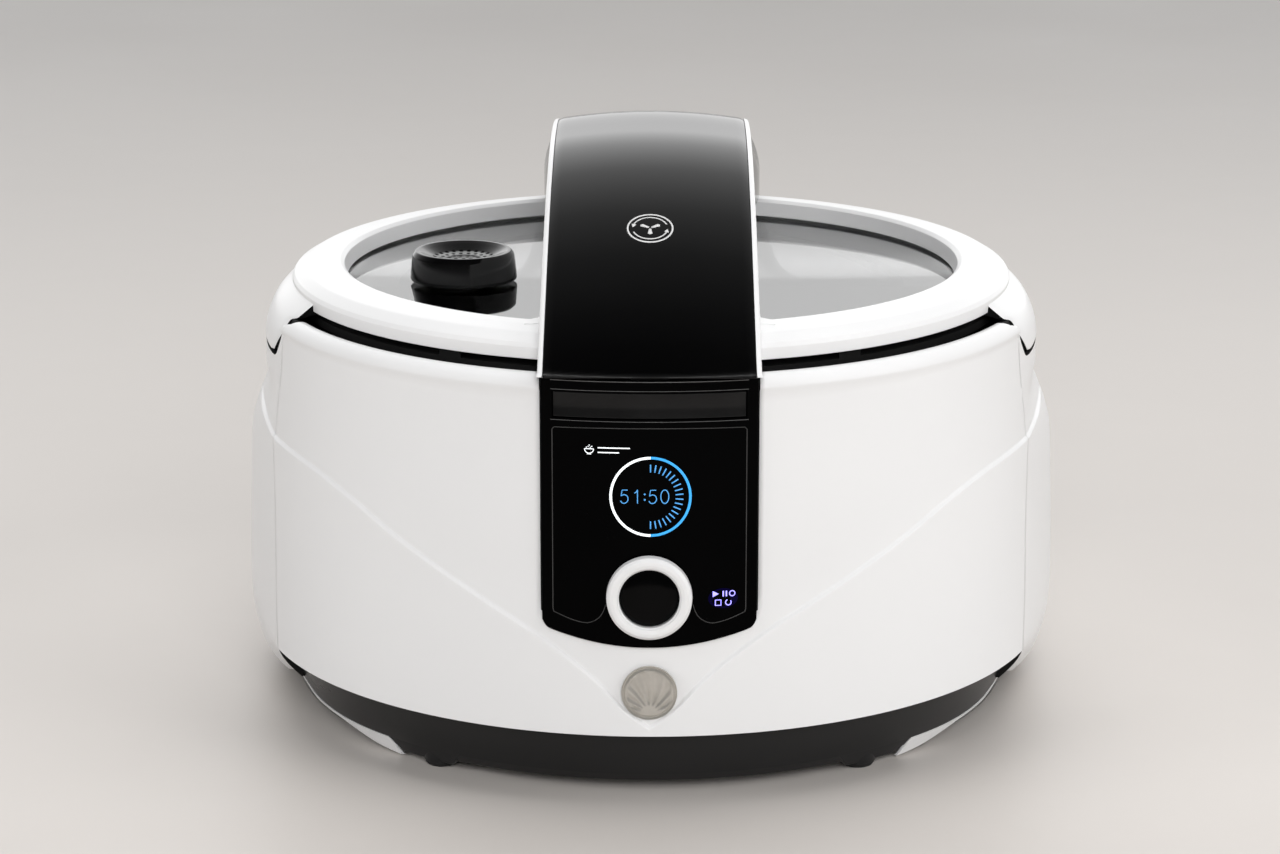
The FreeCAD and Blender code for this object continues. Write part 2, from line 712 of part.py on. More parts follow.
def make_spine_housing():
    under_cover = crowned(COVER_T + 0.2, 60.0, 50.0)
    cover_room = crowned(-20.0, ARCH_COVER_X + 0.15, ARCH_R - 12.0).cut(under_cover)
    rear_room = crowned(-20.0, 70.0, 100.0).cut(under_cover)
    rear_room = rear_room.common(block(-70, 70, REAR_COVER_Y, 230, 0, 400))
    hollow = crowned(5.2, ARCH_SIDE_X - WALL, 140.0)
    hollow = hollow.common(block(-60, 60, -171.0, 152.0, 200, 300))
    catch_room = block(-40, 40, -182.0, -170.0, 190, 206)
    catch_slot = block(-8.3, 8.3, -184.5, -182.0, 190, 201.0)
    solid = crowned(0.3, ARCH_SIDE_X, 150.0).cut(below_arch())
    solid = solid.cut(cover_room.fuse(rear_room)).cut(hollow)
    solid = solid.cut(block(-70, 70, 155.0, 230, 190, 300))
    return solid.cut(catch_room).cut(catch_slot)


def make_arch_cover():
    skin = crowned(0.0, ARCH_COVER_X, 150.0).cut(crowned(COVER_T, 60.0, 100.0))
    skin = skin.common(block(-60, 60, -230, REAR_COVER_Y - 0.2, ARCH_FRONT_Z + 0.3, 300))
    return skin.cut(disc(RING_OUTER_R + 0.6, 0, RING_TOP_Z + 0.15))


def rear_cover_plan(grow):
    x = REAR_COVER_X + grow
    start = ARCH_SIDE_X + 0.4 + grow
    right = [(start, REAR_COVER_Y), (x, 150.0), (x, HINGE_Y)]
    left = [(-x, HINGE_Y), (-x, 150.0), (-start, REAR_COVER_Y)]
    return right + left


def make_hinge_cover():
    solid = crowned(0.0, REAR_COVER_X, 170.0).common(slab_z(rear_cover_plan(0.0), 190, 300))
    inner = crowned(COVER_T, ARCH_SIDE_X + 0.3, 100.0).common(block(-60, 60, 0, 158.0, 190, 300))
    taper_room = slab_z(rear_cover_plan(-COVER_T), 190, 300).common(crowned(COVER_T, 70.0, 100.0))
    taper_room = taper_room.common(block(-60, 60, REAR_COVER_Y - 1, 166.0, 190, 300))
    solid = solid.cut(inner).cut(taper_room).cut(below_arch())
    barrel = rod_x(12.3, HINGE_Y, HINGE_Z, -44.5, 44.5)
    quadrant = block(-60, 60, HINGE_Y - 0.1, HINGE_Y + 20, HINGE_Z + 5.2, HINGE_Z + 30)
    barrel = barrel.common(quadrant)
    solid = solid.fuse(barrel).removeSplitter()
    arm_room = block(-46, 46, 150, 182, 190, 201.1)
    return solid.cut(rod_x(10.2, HINGE_Y, HINGE_Z, -70, 70)).cut(arm_room)


def make_gearbox_plate():
    plate = block(-42, 42, -36, 66, 229.0, 231.6)
    legs = [disc(3.6, RING_TOP_Z, 229.1, x, y) for x in (-38, 38) for y in (-32, 62)]
    plate = joined([plate] + legs)
    return plate.cut(disc(5.6, 220, 240)).cut(disc(3.0, 220, 240, 0, gear_centre()))


def gear_centre():
    return (STIR_GEAR_TEETH + PINION_TEETH) * GEAR_MODULE / 2


def make_stir_motor():
    y = gear_centre()
    case = tube(17.5, 1.5 + RUN, 231.6, 262.0, 0, y)
    return case


def make_drive_gear():
    return gear(STIR_GEAR_TEETH, GEAR_MODULE, GEAR_LOW_Z, GEAR_LOW_Z + GEAR_T, 0, 0, 5.0)


def make_motor_pinion():
    y = gear_centre()
    teeth = gear(PINION_TEETH, GEAR_MODULE, GEAR_LOW_Z, GEAR_LOW_Z + GEAR_T, 0, y, 1.5,
                 phase=-math.pi / 2 + math.pi / PINION_TEETH)
    shaft = disc(1.5, GEAR_LOW_Z, 258.0, 0, y)
    return teeth.fuse(shaft).removeSplitter()


def make_shaft_bush():
    profile = [(5.0 + RUN, 203.0), (8.4, 203.0), (8.4, RING_TOP_Z), (12.0, RING_TOP_Z), (12.0, 216.4),
               (5.0 + RUN, 216.4)]
    return revolved(profile)


def make_stir_shaft():
    return disc(5.0, 74.0, 234.0)


def make_stir_paddle():
    hub = tube(9.0, 5.0, 56.0, 84.0)
    parts = [hub]
    for side in (0, 180):
        arm = block(7.0, PADDLE_R, -2.0, 2.0, 56.0, 70.0)
        tip = slab_y([(PADDLE_R - 14, 60), (PADDLE_R, 60), (PADDLE_R, 96), (PADDLE_R - 8, 96)], -2.0, 2.0)
        blade = arm.fuse(tip)
        blade.rotate(V(0, 0, 0), V(0, 0, 1), side)
        parts.append(blade)
    return joined(parts).fuse(disc(9.0, 54.5, 74.0).cut(disc(5.0, 74.0, 90.0))).removeSplitter()


def make_vent_grommet():
    profile = [(9.6, 197.0), (14.5, 197.0), (14.5, 200.1), (11.9, 200.1), (11.9, 204.1), (14.5, 204.1),
               (14.5, 205.2), (9.6, 205.2)]
    ring = revolved(profile)
    ring.translate(V(VENT_X, VENT_Y, 0))
    return ring


def make_vent_cap():
    outside = [(0.0, 213.6), (14.0, 213.6), (18.0, 215.6), (21.5, 219.2), (23.6, 220.2), (25.4, 219.0),
               (VENT_R, 216.0), (VENT_R, 213.0), (24.6, 211.6), (24.6, 205.6)]
    stem = [(9.5, 205.6), (9.5, 198.0), (7.5, 198.0), (7.5, 207.6), (22.6, 207.6), (22.6, 211.0),
            (0.0, 211.0)]
    profile = outside + stem
    cap = revolved(profile)
    holes = []
    for ring_r, count in ((4.5, 6), (9.0, 12)):
        for i in range(count):
            a = 2 * math.pi * i / count
            holes.append(disc(1.3, 209, 216, ring_r * math.cos(a), ring_r * math.sin(a)))
    cap = cap.cut(joined(holes))
    cap.translate(V(VENT_X, VENT_Y, 0))
    return cap


def make_stir_key_board():
    board = block(-18, 18, -14, 14, -1.6, 0.0)
    tilt = math.degrees(math.asin(100.0 / ARCH_R))
    z = ARCH_Z + math.sqrt((ARCH_R - 8.0) ** 2 - 100.0 ** 2)
    board.rotate(V(0, 0, 0), V(1, 0, 0), tilt)
    board.translate(V(0, -100.0, z))
    return board


def make_hinge_spring():
    return coil(5.6, 0.7, 24.0, 9, (-12.0, HINGE_Y, HINGE_Z), (1, 0, 0))


MAKERS = {
    "front_shell": make_front_shell,
    "rear_shell": make_rear_shell,
    "base_skirt": make_base_skirt,
    "bottom_plate": make_bottom_plate,
    "rubber_feet": make_rubber_feet,
    "corner_trims": make_corner_trims,
    "upper_rim": make_upper_rim,
    "grip_recesses": make_grip_recesses,
    "inner_pot": make_inner_pot,
    "heat_shield": make_heat_shield,
    "heating_plate": make_heating_plate,
    "heater_element": make_heater_element,
    "plate_supports": make_plate_supports,
    "sensor_cup": make_sensor_cup,
    "sensor_spring": make_sensor_spring,
    "sensor_plunger": make_sensor_plunger,
    "thermal_fuse": make_thermal_fuse,
    "power_board": make_power_board,
    "wire_harness": make_wire_harness,
    "control_board": make_control_board,
    "display_module": make_display_module,
    "panel_cover": make_panel_cover,
    "touch_lens": make_touch_lens,
    "encoder": make_encoder,
    "badge": make_badge,
    "hinge_housing": make_hinge_housing,
    "hinge_bracket": make_hinge_bracket,
    "hinge_pin": make_hinge_pin,
    "hinge_spring": make_hinge_spring,
    "power_inlet": make_power_inlet,
    "inlet_pins": make_inlet_pins,
    "base_screws": make_base_screws,
    "latch_spring": make_latch_spring,
    "button_spring": make_button_spring,
    "release_bar": make_release_bar,
    "latch_hook": make_latch_hook,
    "dial_ring": make_dial_ring,
    "dial_button": make_dial_button,
    "lid_frame": make_lid_frame,
    "lid_glass": make_lid_glass,
    "glass_gasket": make_glass_gasket,
    "lid_liner": make_lid_liner,
    "lid_seal": make_lid_seal,
    "lid_screws": make_lid_screws,
    "spine_housing": make_spine_housing,
    "arch_cover": make_arch_cover,
    "hinge_cover": make_hinge_cover,
    "lid_knuckle": make_lid_knuckle,
    "latch_catch": make_latch_catch,
    "gearbox_plate": make_gearbox_plate,
    "stir_motor": make_stir_motor,
    "stir_key_board": make_stir_key_board,
    "shaft_bush": make_shaft_bush,
    "drive_gear": make_drive_gear,
    "stir_shaft": make_stir_shaft,
    "stir_paddle": make_stir_paddle,
    "motor_pinion": make_motor_pinion,
    "vent_grommet": make_vent_grommet,
    "vent_cap": make_vent_cap,
}

made = {}
os.makedirs("parts", exist_ok=True)
for node, maker in MAKERS.items():
    save(node, maker())
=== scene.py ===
import math

import bmesh
import bpy
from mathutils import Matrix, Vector


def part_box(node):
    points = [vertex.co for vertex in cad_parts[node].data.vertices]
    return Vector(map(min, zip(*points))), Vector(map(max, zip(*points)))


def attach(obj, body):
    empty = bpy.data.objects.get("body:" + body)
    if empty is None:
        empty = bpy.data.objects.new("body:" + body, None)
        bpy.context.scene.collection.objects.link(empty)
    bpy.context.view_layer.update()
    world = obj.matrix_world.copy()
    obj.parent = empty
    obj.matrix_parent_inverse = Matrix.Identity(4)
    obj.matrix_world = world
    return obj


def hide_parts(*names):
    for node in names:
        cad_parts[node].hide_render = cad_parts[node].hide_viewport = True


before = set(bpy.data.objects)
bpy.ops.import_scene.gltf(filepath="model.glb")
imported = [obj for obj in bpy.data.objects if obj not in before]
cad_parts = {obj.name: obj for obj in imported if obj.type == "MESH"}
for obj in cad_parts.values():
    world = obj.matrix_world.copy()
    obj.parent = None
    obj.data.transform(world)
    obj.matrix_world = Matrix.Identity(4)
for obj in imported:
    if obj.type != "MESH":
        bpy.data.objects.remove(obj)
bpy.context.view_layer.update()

MM = 0.001

# Lengths are in millimetres and angles in degrees.
# Body: SHELL and FLANK are (height, radius or half width), CREASE is (angle from the front, height), and
# SEAM is (height, angle from the front).
SHELL = [(33.6, 193.8), (60.0, 193.0), (100.0, 191.7), (131.0, 191.0), (168.0, 189.7), (192.0, 189.3)]
SHOULDER_Z = 190.5
RIM_Z = 197.5
RIM_OUT = 182.6
RIM_IN = 180.2
FLANK = [(6.0, 189.5), (10.0, 194.2), (15.0, 198.0), (22.0, 200.8), (30.0, 202.4), (46.0, 203.3),
         (72.0, 202.8),
         (100.0, 201.8), (122.0, 200.8), (134.0, 198.9), (145.0, 195.0), (156.0, 190.9), (166.0, 188.9)]
FLANK_Y = 12.0
REAR_INSET = 6.6
CREASE = [(0.0, 37.5), (2.0, 42.0), (4.0, 47.7), (6.0, 55.0), (8.0, 61.5), (12.0, 71.8), (16.0, 80.5),
          (20.5, 88.5), (25.0, 96.0), (30.0, 104.0), (36.5, 114.0), (44.0, 125.2), (48.4, 130.0),
          (53.4, 134.0),
          (59.4, 136.3), (65.0, 137.2), (72.0, 137.6), (90.0, 141.0)]
SEAM = [(6.0, 67.0), (18.0, 67.6), (36.0, 68.4), (60.0, 69.2), (100.0, 69.9), (131.0, 70.8), (140.0, 71.2),
        (174.0, 68.0), (188.0, 67.3), (199.0, 66.6)]

# Lid grips: EAR is (height, half width front to back), and EAR_PROFILE is (radius, height).
EAR = [(177.6, 50.0), (178.1, 56.0), (179.4, 59.3), (182.9, 63.0), (187.3, 67.0), (191.9, 70.0),
       (194.6, 70.5),
       (196.1, 71.3), (197.0, 73.4), (197.7, 76.0), (200.0, 77.4), (214.0, 78.0)]
EAR_GAP = 1.5
EAR_BACK = 3.0
EAR_PROFILE = [(173.0, 207.2), (174.6, 205.8), (178.0, 202.6), (181.4, 199.2), (184.0, 195.8), (186.3, 191.2),
               (188.0, 186.6), (188.9, 182.0), (189.1, 179.0), (188.4, 177.7), (187.3, 178.0), (186.4, 180.4),
               (185.6, 187.0), (182.3, 194.8), (178.4, 198.6), (172.0, 200.6)]

# Arch: an arc of radius ARCH_R about ARCH_Z, crowned across by CROWN_R. COVER_X is (place, half width).
ARCH_Z = 12.8
ARCH_R = 268.0
CROWN_R = 286.0
COVER_X = [(-193.0, 47.3), (-180.0, 46.9), (-150.0, 46.35), (-110.0, 46.0), (-60.0, 45.8), (66.0, 45.8)]
TRIM = 2.4
SIDE_X = 49.0
ARCH_FOOT_Z = 199.0
RING_TOP_Z = 213.7
RING_R = 175.4
STIR_MARK_Y = -122.0

# Openings in the body, and what stands in them.
WINDOW_X = 48.7
WINDOW_LOW = 88.0
HOUSING_X = 62.0
INLET_FLANGE = 3.7

# Base: TRIM_TOP and TRIM_LOW are (angle from the front, height).
FOOT_X, FOOT_Y = 97.0, 138.0
TRIM_TOP = [(41.5, 9.4), (43.4, 9.4), (54.6, 9.3), (61.9, 10.4), (65.0, 12.0), (67.5, 15.5), (70.0, 20.5)]
TRIM_LOW = [(41.5, 0.9), (43.4, 1.2), (47.4, 2.6), (52.0, 5.4), (55.8, 7.4), (61.9, 8.7), (65.0, 9.8),
            (67.5, 13.0), (70.0, 17.5)]

# Front panel and the lit marks on it.
PANEL_X = 48.0
PANEL_TOP = 197.0
DISPLAY_X, DISPLAY_Z = 0.5, 144.7
DISPLAY_R = 17.6
PROGRAMME_X, PROGRAMME_Z = -26.6, 165.6
MARKS_X, MARKS_Z = 32.8, 97.4
LIFT = 0.06

pin_low, pin_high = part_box("hinge_pin")
PIN = (pin_low + pin_high) / 2 / MM


# --- small geometry tools -------------------------------------------------------------------------
def curve(points, x):
    """A smooth line through (x, y) points."""
    if x <= points[0][0]:
        return points[0][1]
    if x >= points[-1][0]:
        return points[-1][1]
    i = max(k for k in range(len(points) - 1) if points[k][0] <= x)

    def slope(k):
        a, b = max(k - 1, 0), min(k + 1, len(points) - 1)
        return (points[b][1] - points[a][1]) / (points[b][0] - points[a][0])

    (x0, y0), (x1, y1) = points[i], points[i + 1]
    h = x1 - x0
    t = (x - x0) / h
    return ((2 * t ** 3 - 3 * t ** 2 + 1) * y0 + (t ** 3 - 2 * t ** 2 + t) * h * slope(i)
            + (3 * t ** 2 - 2 * t ** 3) * y1 + (t ** 3 - t ** 2) * h * slope(i + 1))


def through(points, steps):
    """A smooth open path through 2-D or 3-D points."""
    path = []
    for i in range(len(points) - 1):
        p = [points[max(i - 1, 0)], points[i], points[i + 1], points[min(i + 2, len(points) - 1)]]
        for s in range(steps):
            t = s / steps
            path.append(tuple(
                0.5 * (2 * b + (c - a) * t + (2 * a - 5 * b + 4 * c - d) * t * t
                       + (3 * b - a - 3 * c + d) * t ** 3)
                for a, b, c, d in zip(*p)))
    return path + [tuple(points[-1])]


def fillet(points, steps=5):
    """A closed outline of (u, v) or (u, v, radius) corners, each rounded by its radius."""
    out = []
    n = len(points)
    for i in range(n):
        here = Vector(points[i][:2])
        radius = points[i][2] if len(points[i]) > 2 else 0.0
        if radius <= 0:
            out.append(tuple(here))
            continue
        back, ahead = Vector(points[i - 1][:2]) - here, Vector(points[(i + 1) % n][:2]) - here
        angle = back.angle(ahead)
        reach = min(radius / math.tan(angle / 2), back.length * 0.48, ahead.length * 0.48)
        a, b = here + back.normalized() * reach, here + ahead.normalized() * reach
        for s in range(steps + 1):
            t = s / steps
            out.append(tuple(a * (1 - t) ** 2 + here * 2 * t * (1 - t) + b * t * t))
    return out


def spread(start, end, count, pull):
    """Numbers from start to end; a pull above 1 packs them close to end."""
    return [end - (end - start) * (1 - i / count) ** pull for i in range(count + 1)]


def smooth(t):
    t = min(max(t, 0.0), 1.0)
    return t * t * (3 - 2 * t)


# --- mesh makers ----------------------------------------------------------------------------------
def make_object(name, verts, faces, sharp=32.0):
    mesh = bpy.data.meshes.new(name)
    mesh.from_pydata([(x * MM, y * MM, z * MM) for x, y, z in verts], [], faces)
    bm = bmesh.new()
    bm.from_mesh(mesh)
    bmesh.ops.remove_doubles(bm, verts=bm.verts, dist=2e-6)
    bmesh.ops.dissolve_degenerate(bm, dist=1e-7, edges=bm.edges)
    loose = [v for v in bm.verts if not v.link_faces]
    bmesh.ops.delete(bm, geom=loose, context="VERTS")
    bmesh.ops.recalc_face_normals(bm, faces=bm.faces)
    bm.to_mesh(mesh)
    bm.free()
    mesh.polygons.foreach_set("use_smooth", [True] * len(mesh.polygons))
    mesh.set_sharp_from_angle(angle=math.radians(sharp))
    obj = bpy.data.objects.new(name, mesh)
    bpy.context.scene.collection.objects.link(obj)
    return obj


def sweep(sections, around=False):
    """Vertices and faces of a solid through closed sections with equal counts."""
    n, m = len(sections[0]), len(sections)
    verts = [p for s in sections for p in s]
    faces = []
    for i in range(m if around else m - 1):
        j = (i + 1) % m
        faces += [(i * n + k, i * n + (k + 1) % n, j * n + (k + 1) % n, j * n + k) for k in range(n)]
    if not around:
        faces += [tuple(range(n)), tuple((m - 1) * n + k for k in range(n))]
    return verts, faces


def merged(*parts):
    verts, faces = [], []
    for v, f in parts:
        base = len(verts)
        verts += v
        faces += [tuple(base + k for k in face) for face in f]
    return verts, faces


def lathe(profile, segments=192, centre=(0.0, 0.0)):
    """A closed (radius, height) outline turned about an upright axis."""
    sections = []
    for i in range(segments):
        a = 2 * math.pi * i / segments
        sections.append([(centre[0] + r * math.cos(a), centre[1] + r * math.sin(a), z) for r, z in profile])
    return sweep(sections, around=True)


def front_lathe(profile, x, y, z, segments=128):
    """A (radius, depth) outline turned about an axis along +Y that starts at (x, y, z)."""
    sections = []
    for i in range(segments):
        a = 2 * math.pi * i / segments
        sections.append([(x + r * math.cos(a), y + d, z + r * math.sin(a)) for r, d in profile])
    return sweep(sections, around=True)


def sheet(rows, keep=None):
    """An open grid of points. keep(point) says whether the cell around that middle stays."""
    n = len(rows[0])
    verts = [p for row in rows for p in row]
    faces = []
    for i in range(len(rows) - 1):
        for k in range(n - 1):
            cell = (i * n + k, i * n + k + 1, (i + 1) * n + k + 1, (i + 1) * n + k)
            middle = [sum(verts[c][axis] for c in cell) / 4 for axis in range(3)]
            if keep is None or keep(*middle):
                faces.append(cell)
    return verts, faces


def modifier(obj, kind, **settings):
    made = obj.modifiers.new(kind.title(), kind)
    for key, value in settings.items():
        setattr(made, key, value)
    return made


def thicken(obj, depth, *finish_and_shade):
    """Gives a sheet its wall, towards the inside. A second finish goes on its edges and inner face; a dark
    one there is painted shade for the seams, gaps and underside.
    """
    for finish in finish_and_shade:
        obj.data.materials.append(finish)
    inner = 1 if len(finish_and_shade) > 1 else 0
    modifier(obj, "SOLIDIFY", thickness=depth * MM, offset=-1.0, use_even_offset=True,
             material_offset=inner, material_offset_rim=inner)


def leaf(obj, depth):
    """Gives a flat mark a thin body, half to each side."""
    modifier(obj, "SOLIDIFY", thickness=depth * MM, offset=0.0)


def soften(obj, width, segments=2, angle=40.0):
    return modifier(obj, "BEVEL", width=width * MM, segments=segments, limit_method="ANGLE",
                    angle_limit=math.radians(angle), harden_normals=True, use_clamp_overlap=True)


def apply_modifiers(obj):
    bpy.context.view_layer.objects.active = obj
    for made in list(obj.modifiers):
        with bpy.context.temp_override(object=obj, active_object=obj):
            bpy.ops.object.modifier_apply(modifier=made.name)


def cut(obj, cutter):
    """Takes the cutter's shape out of a piece and removes the cutter."""
    modifier(obj, "BOOLEAN", operation="DIFFERENCE", object=cutter, solver="EXACT")
    apply_modifiers(obj)
    bpy.data.objects.remove(cutter)
    obj.data.polygons.foreach_set("use_smooth", [True] * len(obj.data.polygons))
    obj.data.set_sharp_from_angle(angle=math.radians(30))
    return obj


def place(obj, body, material, slot, *nodes):
    """Colours a piece, fixes it to its body and hides the CAD nodes it stands for."""
    if not obj.data.materials:
        obj.data.materials.append(material)
    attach(obj, body)
    if nodes:
        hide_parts(*nodes)
    return obj


# --- materials ------------------------------------------------------------------------------------
def node_material(name, light, dark, rough, blotch=14.0, grain=900.0, relief=0.02, metallic=0.0, coat=0.0,
                  specular=0.5, transmission=0.0, ior=1.5, stretch=(1.0, 1.0, 1.0), rough_swing=0.06,
                  edge_paling=0.0, emission=None, power=0.0):
    """Two close tones in soft patches, a fine relief, and a roughness that wanders a little."""
    mat = bpy.data.materials.new(name)
    mat.use_nodes = True
    nodes, links = mat.node_tree.nodes, mat.node_tree.links
    shader = nodes["Principled BSDF"]
    coords = nodes.new("ShaderNodeTexCoord")
    mapping = nodes.new("ShaderNodeMapping")
    mapping.inputs["Scale"].default_value = stretch
    links.new(coords.outputs["Object"], mapping.inputs["Vector"])

    patches = nodes.new("ShaderNodeTexNoise")
    patches.inputs["Scale"].default_value = blotch
    patches.inputs["Detail"].default_value = 4.0
    links.new(mapping.outputs["Vector"], patches.inputs["Vector"])
    tones = nodes.new("ShaderNodeValToRGB")
    tones.color_ramp.elements[0].position = 0.32
    tones.color_ramp.elements[1].position = 0.68
    tones.color_ramp.elements[0].color = (*dark, 1.0)
    tones.color_ramp.elements[1].color = (*light, 1.0)
    links.new(patches.outputs["Fac"], tones.inputs["Fac"])

    fine = nodes.new("ShaderNodeTexNoise")
    fine.inputs["Scale"].default_value = grain
    fine.inputs["Detail"].default_value = 3.0
    links.new(mapping.outputs["Vector"], fine.inputs["Vector"])
    bump = nodes.new("ShaderNodeBump")
    bump.inputs["Strength"].default_value = relief
    bump.inputs["Distance"].default_value = 0.0005
    links.new(fine.outputs["Fac"], bump.inputs["Height"])
    links.new(bump.outputs["Normal"], shader.inputs["Normal"])

    wander = nodes.new("ShaderNodeMapRange")
    wander.inputs["To Min"].default_value = max(rough - rough_swing, 0.01)
    wander.inputs["To Max"].default_value = rough + rough_swing
    links.new(patches.outputs["Fac"], wander.inputs["Value"])
    links.new(wander.outputs["Result"], shader.inputs["Roughness"])

    colour = tones.outputs["Color"]
    # Convex edges, found by Pointiness, are painted paler than the rest.
    if edge_paling > 0:
        geometry = nodes.new("ShaderNodeNewGeometry")
        edge = nodes.new("ShaderNodeMapRange")
        edge.inputs["From Min"].default_value = 0.52
        edge.inputs["From Max"].default_value = 0.62
        edge.inputs["To Max"].default_value = edge_paling
        links.new(geometry.outputs["Pointiness"], edge.inputs["Value"])
        paled = nodes.new("ShaderNodeMix")
        paled.data_type = "RGBA"
        paled.inputs["B"].default_value = (*[min(c * 1.5 + 0.03, 1.0) for c in light], 1.0)
        links.new(edge.outputs["Result"], paled.inputs["Factor"])
        links.new(colour, paled.inputs["A"])
        colour = paled.outputs["Result"]
    links.new(colour, shader.inputs["Base Color"])

    shader.inputs["Metallic"].default_value = metallic
    shader.inputs["Coat Weight"].default_value = coat
    shader.inputs["Coat Roughness"].default_value = 0.04
    shader.inputs["Specular IOR Level"].default_value = specular
    shader.inputs["Transmission Weight"].default_value = transmission
    shader.inputs["IOR"].default_value = ior
    if emission:
        shader.inputs["Emission Strength"].default_value = power
        shader.inputs["Emission Color"].default_value = (*emission, 1.0)
    mat.diffuse_color = (*light, 1.0)
    return mat


def grey(value):
    return (value, value, value)


WHITE = node_material("white_gloss_abs", (0.800, 0.800, 0.802), (0.780, 0.780, 0.784), 0.30, blotch=6.0,
                      grain=650.0, relief=0.010, coat=0.0, specular=0.42, rough_swing=0.03)
BLACK = node_material("black_gloss_abs", (0.0009, 0.0009, 0.0010), (0.0006, 0.0006, 0.0007), 0.07,
                      blotch=20.0,
                      grain=500.0, relief=0.006, specular=0.025, rough_swing=0.02)
ARCH_BLACK = node_material("arch_gloss_abs", (0.0012, 0.0012, 0.0013), (0.0008, 0.0008, 0.0009), 0.07,
                           blotch=16.0,
                           grain=420.0, relief=0.005, specular=0.50, rough_swing=0.02)
BAR = node_material("bar_satin_abs", (0.010, 0.010, 0.010), (0.007, 0.007, 0.007), 0.22, blotch=40.0,
                    grain=1800.0, relief=0.02, specular=0.18, edge_paling=0.3)
SATIN = node_material("dark_satin_abs", (0.0095, 0.0095, 0.0100), (0.0075, 0.0075, 0.0080), 0.30, blotch=18.0,
                      grain=2600.0, relief=0.035, specular=0.35, edge_paling=0.25)
# Dark matt plastic of the real liners and grip recesses; it is also painted shade on the white shells' edges
# and inner faces and under the ears.
LINER_AND_SHADE = node_material("liner_and_painted_shade_matt_abs", (0.012, 0.012, 0.012), (0.008, 0.008, 0.008), 0.55, blotch=25.0,
                      grain=2200.0, relief=0.06, specular=0.2)
GLASS = node_material("window_glass", (0.800, 0.803, 0.806), (0.780, 0.784, 0.788), 0.030, blotch=5.0,
                      grain=60.0, relief=0.002, specular=0.5, metallic=0.07, transmission=1.0,
                      rough_swing=0.012)
SILICONE = node_material("silicone", (0.030, 0.030, 0.030), (0.022, 0.022, 0.022), 0.50, grain=1500.0,
                         relief=0.05)
RUBBER = node_material("foot_rubber", (0.018, 0.018, 0.018), (0.012, 0.012, 0.012), 0.75, grain=1400.0,
                       relief=0.18)
NONSTICK = node_material("nonstick", (0.040, 0.040, 0.042), (0.022, 0.022, 0.024), 0.38, blotch=900.0,
                         grain=1600.0, relief=0.05)
ALUMINIUM = node_material("aluminium", (0.72, 0.72, 0.73), (0.62, 0.62, 0.63), 0.34, blotch=30.0, grain=900.0,
                          relief=0.05, metallic=1.0, stretch=(1.0, 1.0, 9.0))
STEEL = node_material("steel", (0.60, 0.60, 0.61), (0.50, 0.50, 0.51), 0.24, blotch=60.0, grain=1500.0,
                      relief=0.04, metallic=1.0, stretch=(1.0, 6.0, 1.0), edge_paling=0.3)
PLASTIC = node_material("engineering_plastic", (0.66, 0.63, 0.56), (0.58, 0.55, 0.48), 0.42, blotch=30.0,
                        grain=1300.0, relief=0.06)
BOARD = node_material("circuit_board", (0.020, 0.150, 0.060), (0.010, 0.080, 0.030), 0.35, blotch=260.0,
                      grain=900.0, relief=0.15)
WIRE = node_material("wire_insulation", (0.45, 0.05, 0.04), (0.32, 0.03, 0.03), 0.45, blotch=80.0,
                     grain=900.0,
                     relief=0.05)
NICKEL = node_material("satin_nickel", (0.60, 0.575, 0.53), (0.53, 0.505, 0.46), 0.30, blotch=160.0,
                       grain=1500.0,
                       relief=0.05, metallic=0.6, rough_swing=0.06)
PRINT = node_material("printed_mark", (0.74, 0.74, 0.74), (0.66, 0.66, 0.66), 0.45, grain=2500.0, relief=0.04)
GLOW_WHITE = node_material("display_white", grey(0.7), grey(0.6), 0.4, emission=(0.90, 0.97, 1.0), power=1.0)
GLOW_BLUE = node_material("display_blue", (0.04, 0.3, 0.6), (0.03, 0.25, 0.55), 0.4,
                          emission=(0.030, 0.30, 0.72),
                          power=0.85)
GLOW_DIGIT = node_material("display_digits", (0.1, 0.3, 0.6), (0.08, 0.28, 0.5), 0.4,
                           emission=(0.045, 0.28, 0.70),
                           power=0.75)
GLOW_KEY = node_material("touch_light", (0.15, 0.12, 0.9), (0.10, 0.10, 0.8), 0.4, emission=(0.42, 0.38, 1.0),
                         power=1.6)
GLOW_HALO = node_material("touch_halo", (0.001, 0.001, 0.008), (0.0008, 0.0008, 0.004), 0.3,
                          emission=(0.004, 0.001, 0.05), power=0.35, specular=0.04)
# Painted highlight: light grey for the thin lines where the release bar's and the panel top's edges catch the
# light.
EDGE_HIGHLIGHT = node_material("panel_edge_painted_highlight", grey(0.16), grey(0.10), 0.30, blotch=30.0, grain=2000.0, relief=0.03)
# Painted highlight: grey lighter than the panel, for the light caught on the raised line's edges.
PANEL_LINE_HIGHLIGHT = node_material("panel_line_painted_highlight", grey(0.045), grey(0.03), 0.30, blotch=60.0, grain=2000.0, relief=0.03)
BLACK_DOME = node_material("dome_gloss_abs", (0.0014, 0.0014, 0.0015), (0.0009, 0.0009, 0.0010), 0.16,
                           blotch=20.0,
                           grain=500.0, relief=0.004, specular=0.08, rough_swing=0.02)
VENT = node_material("vent_gloss_abs", (0.0020, 0.0020, 0.0021), (0.0014, 0.0014, 0.0015), 0.14, blotch=30.0,
                     grain=900.0, relief=0.01, specular=0.40, edge_paling=0.2)

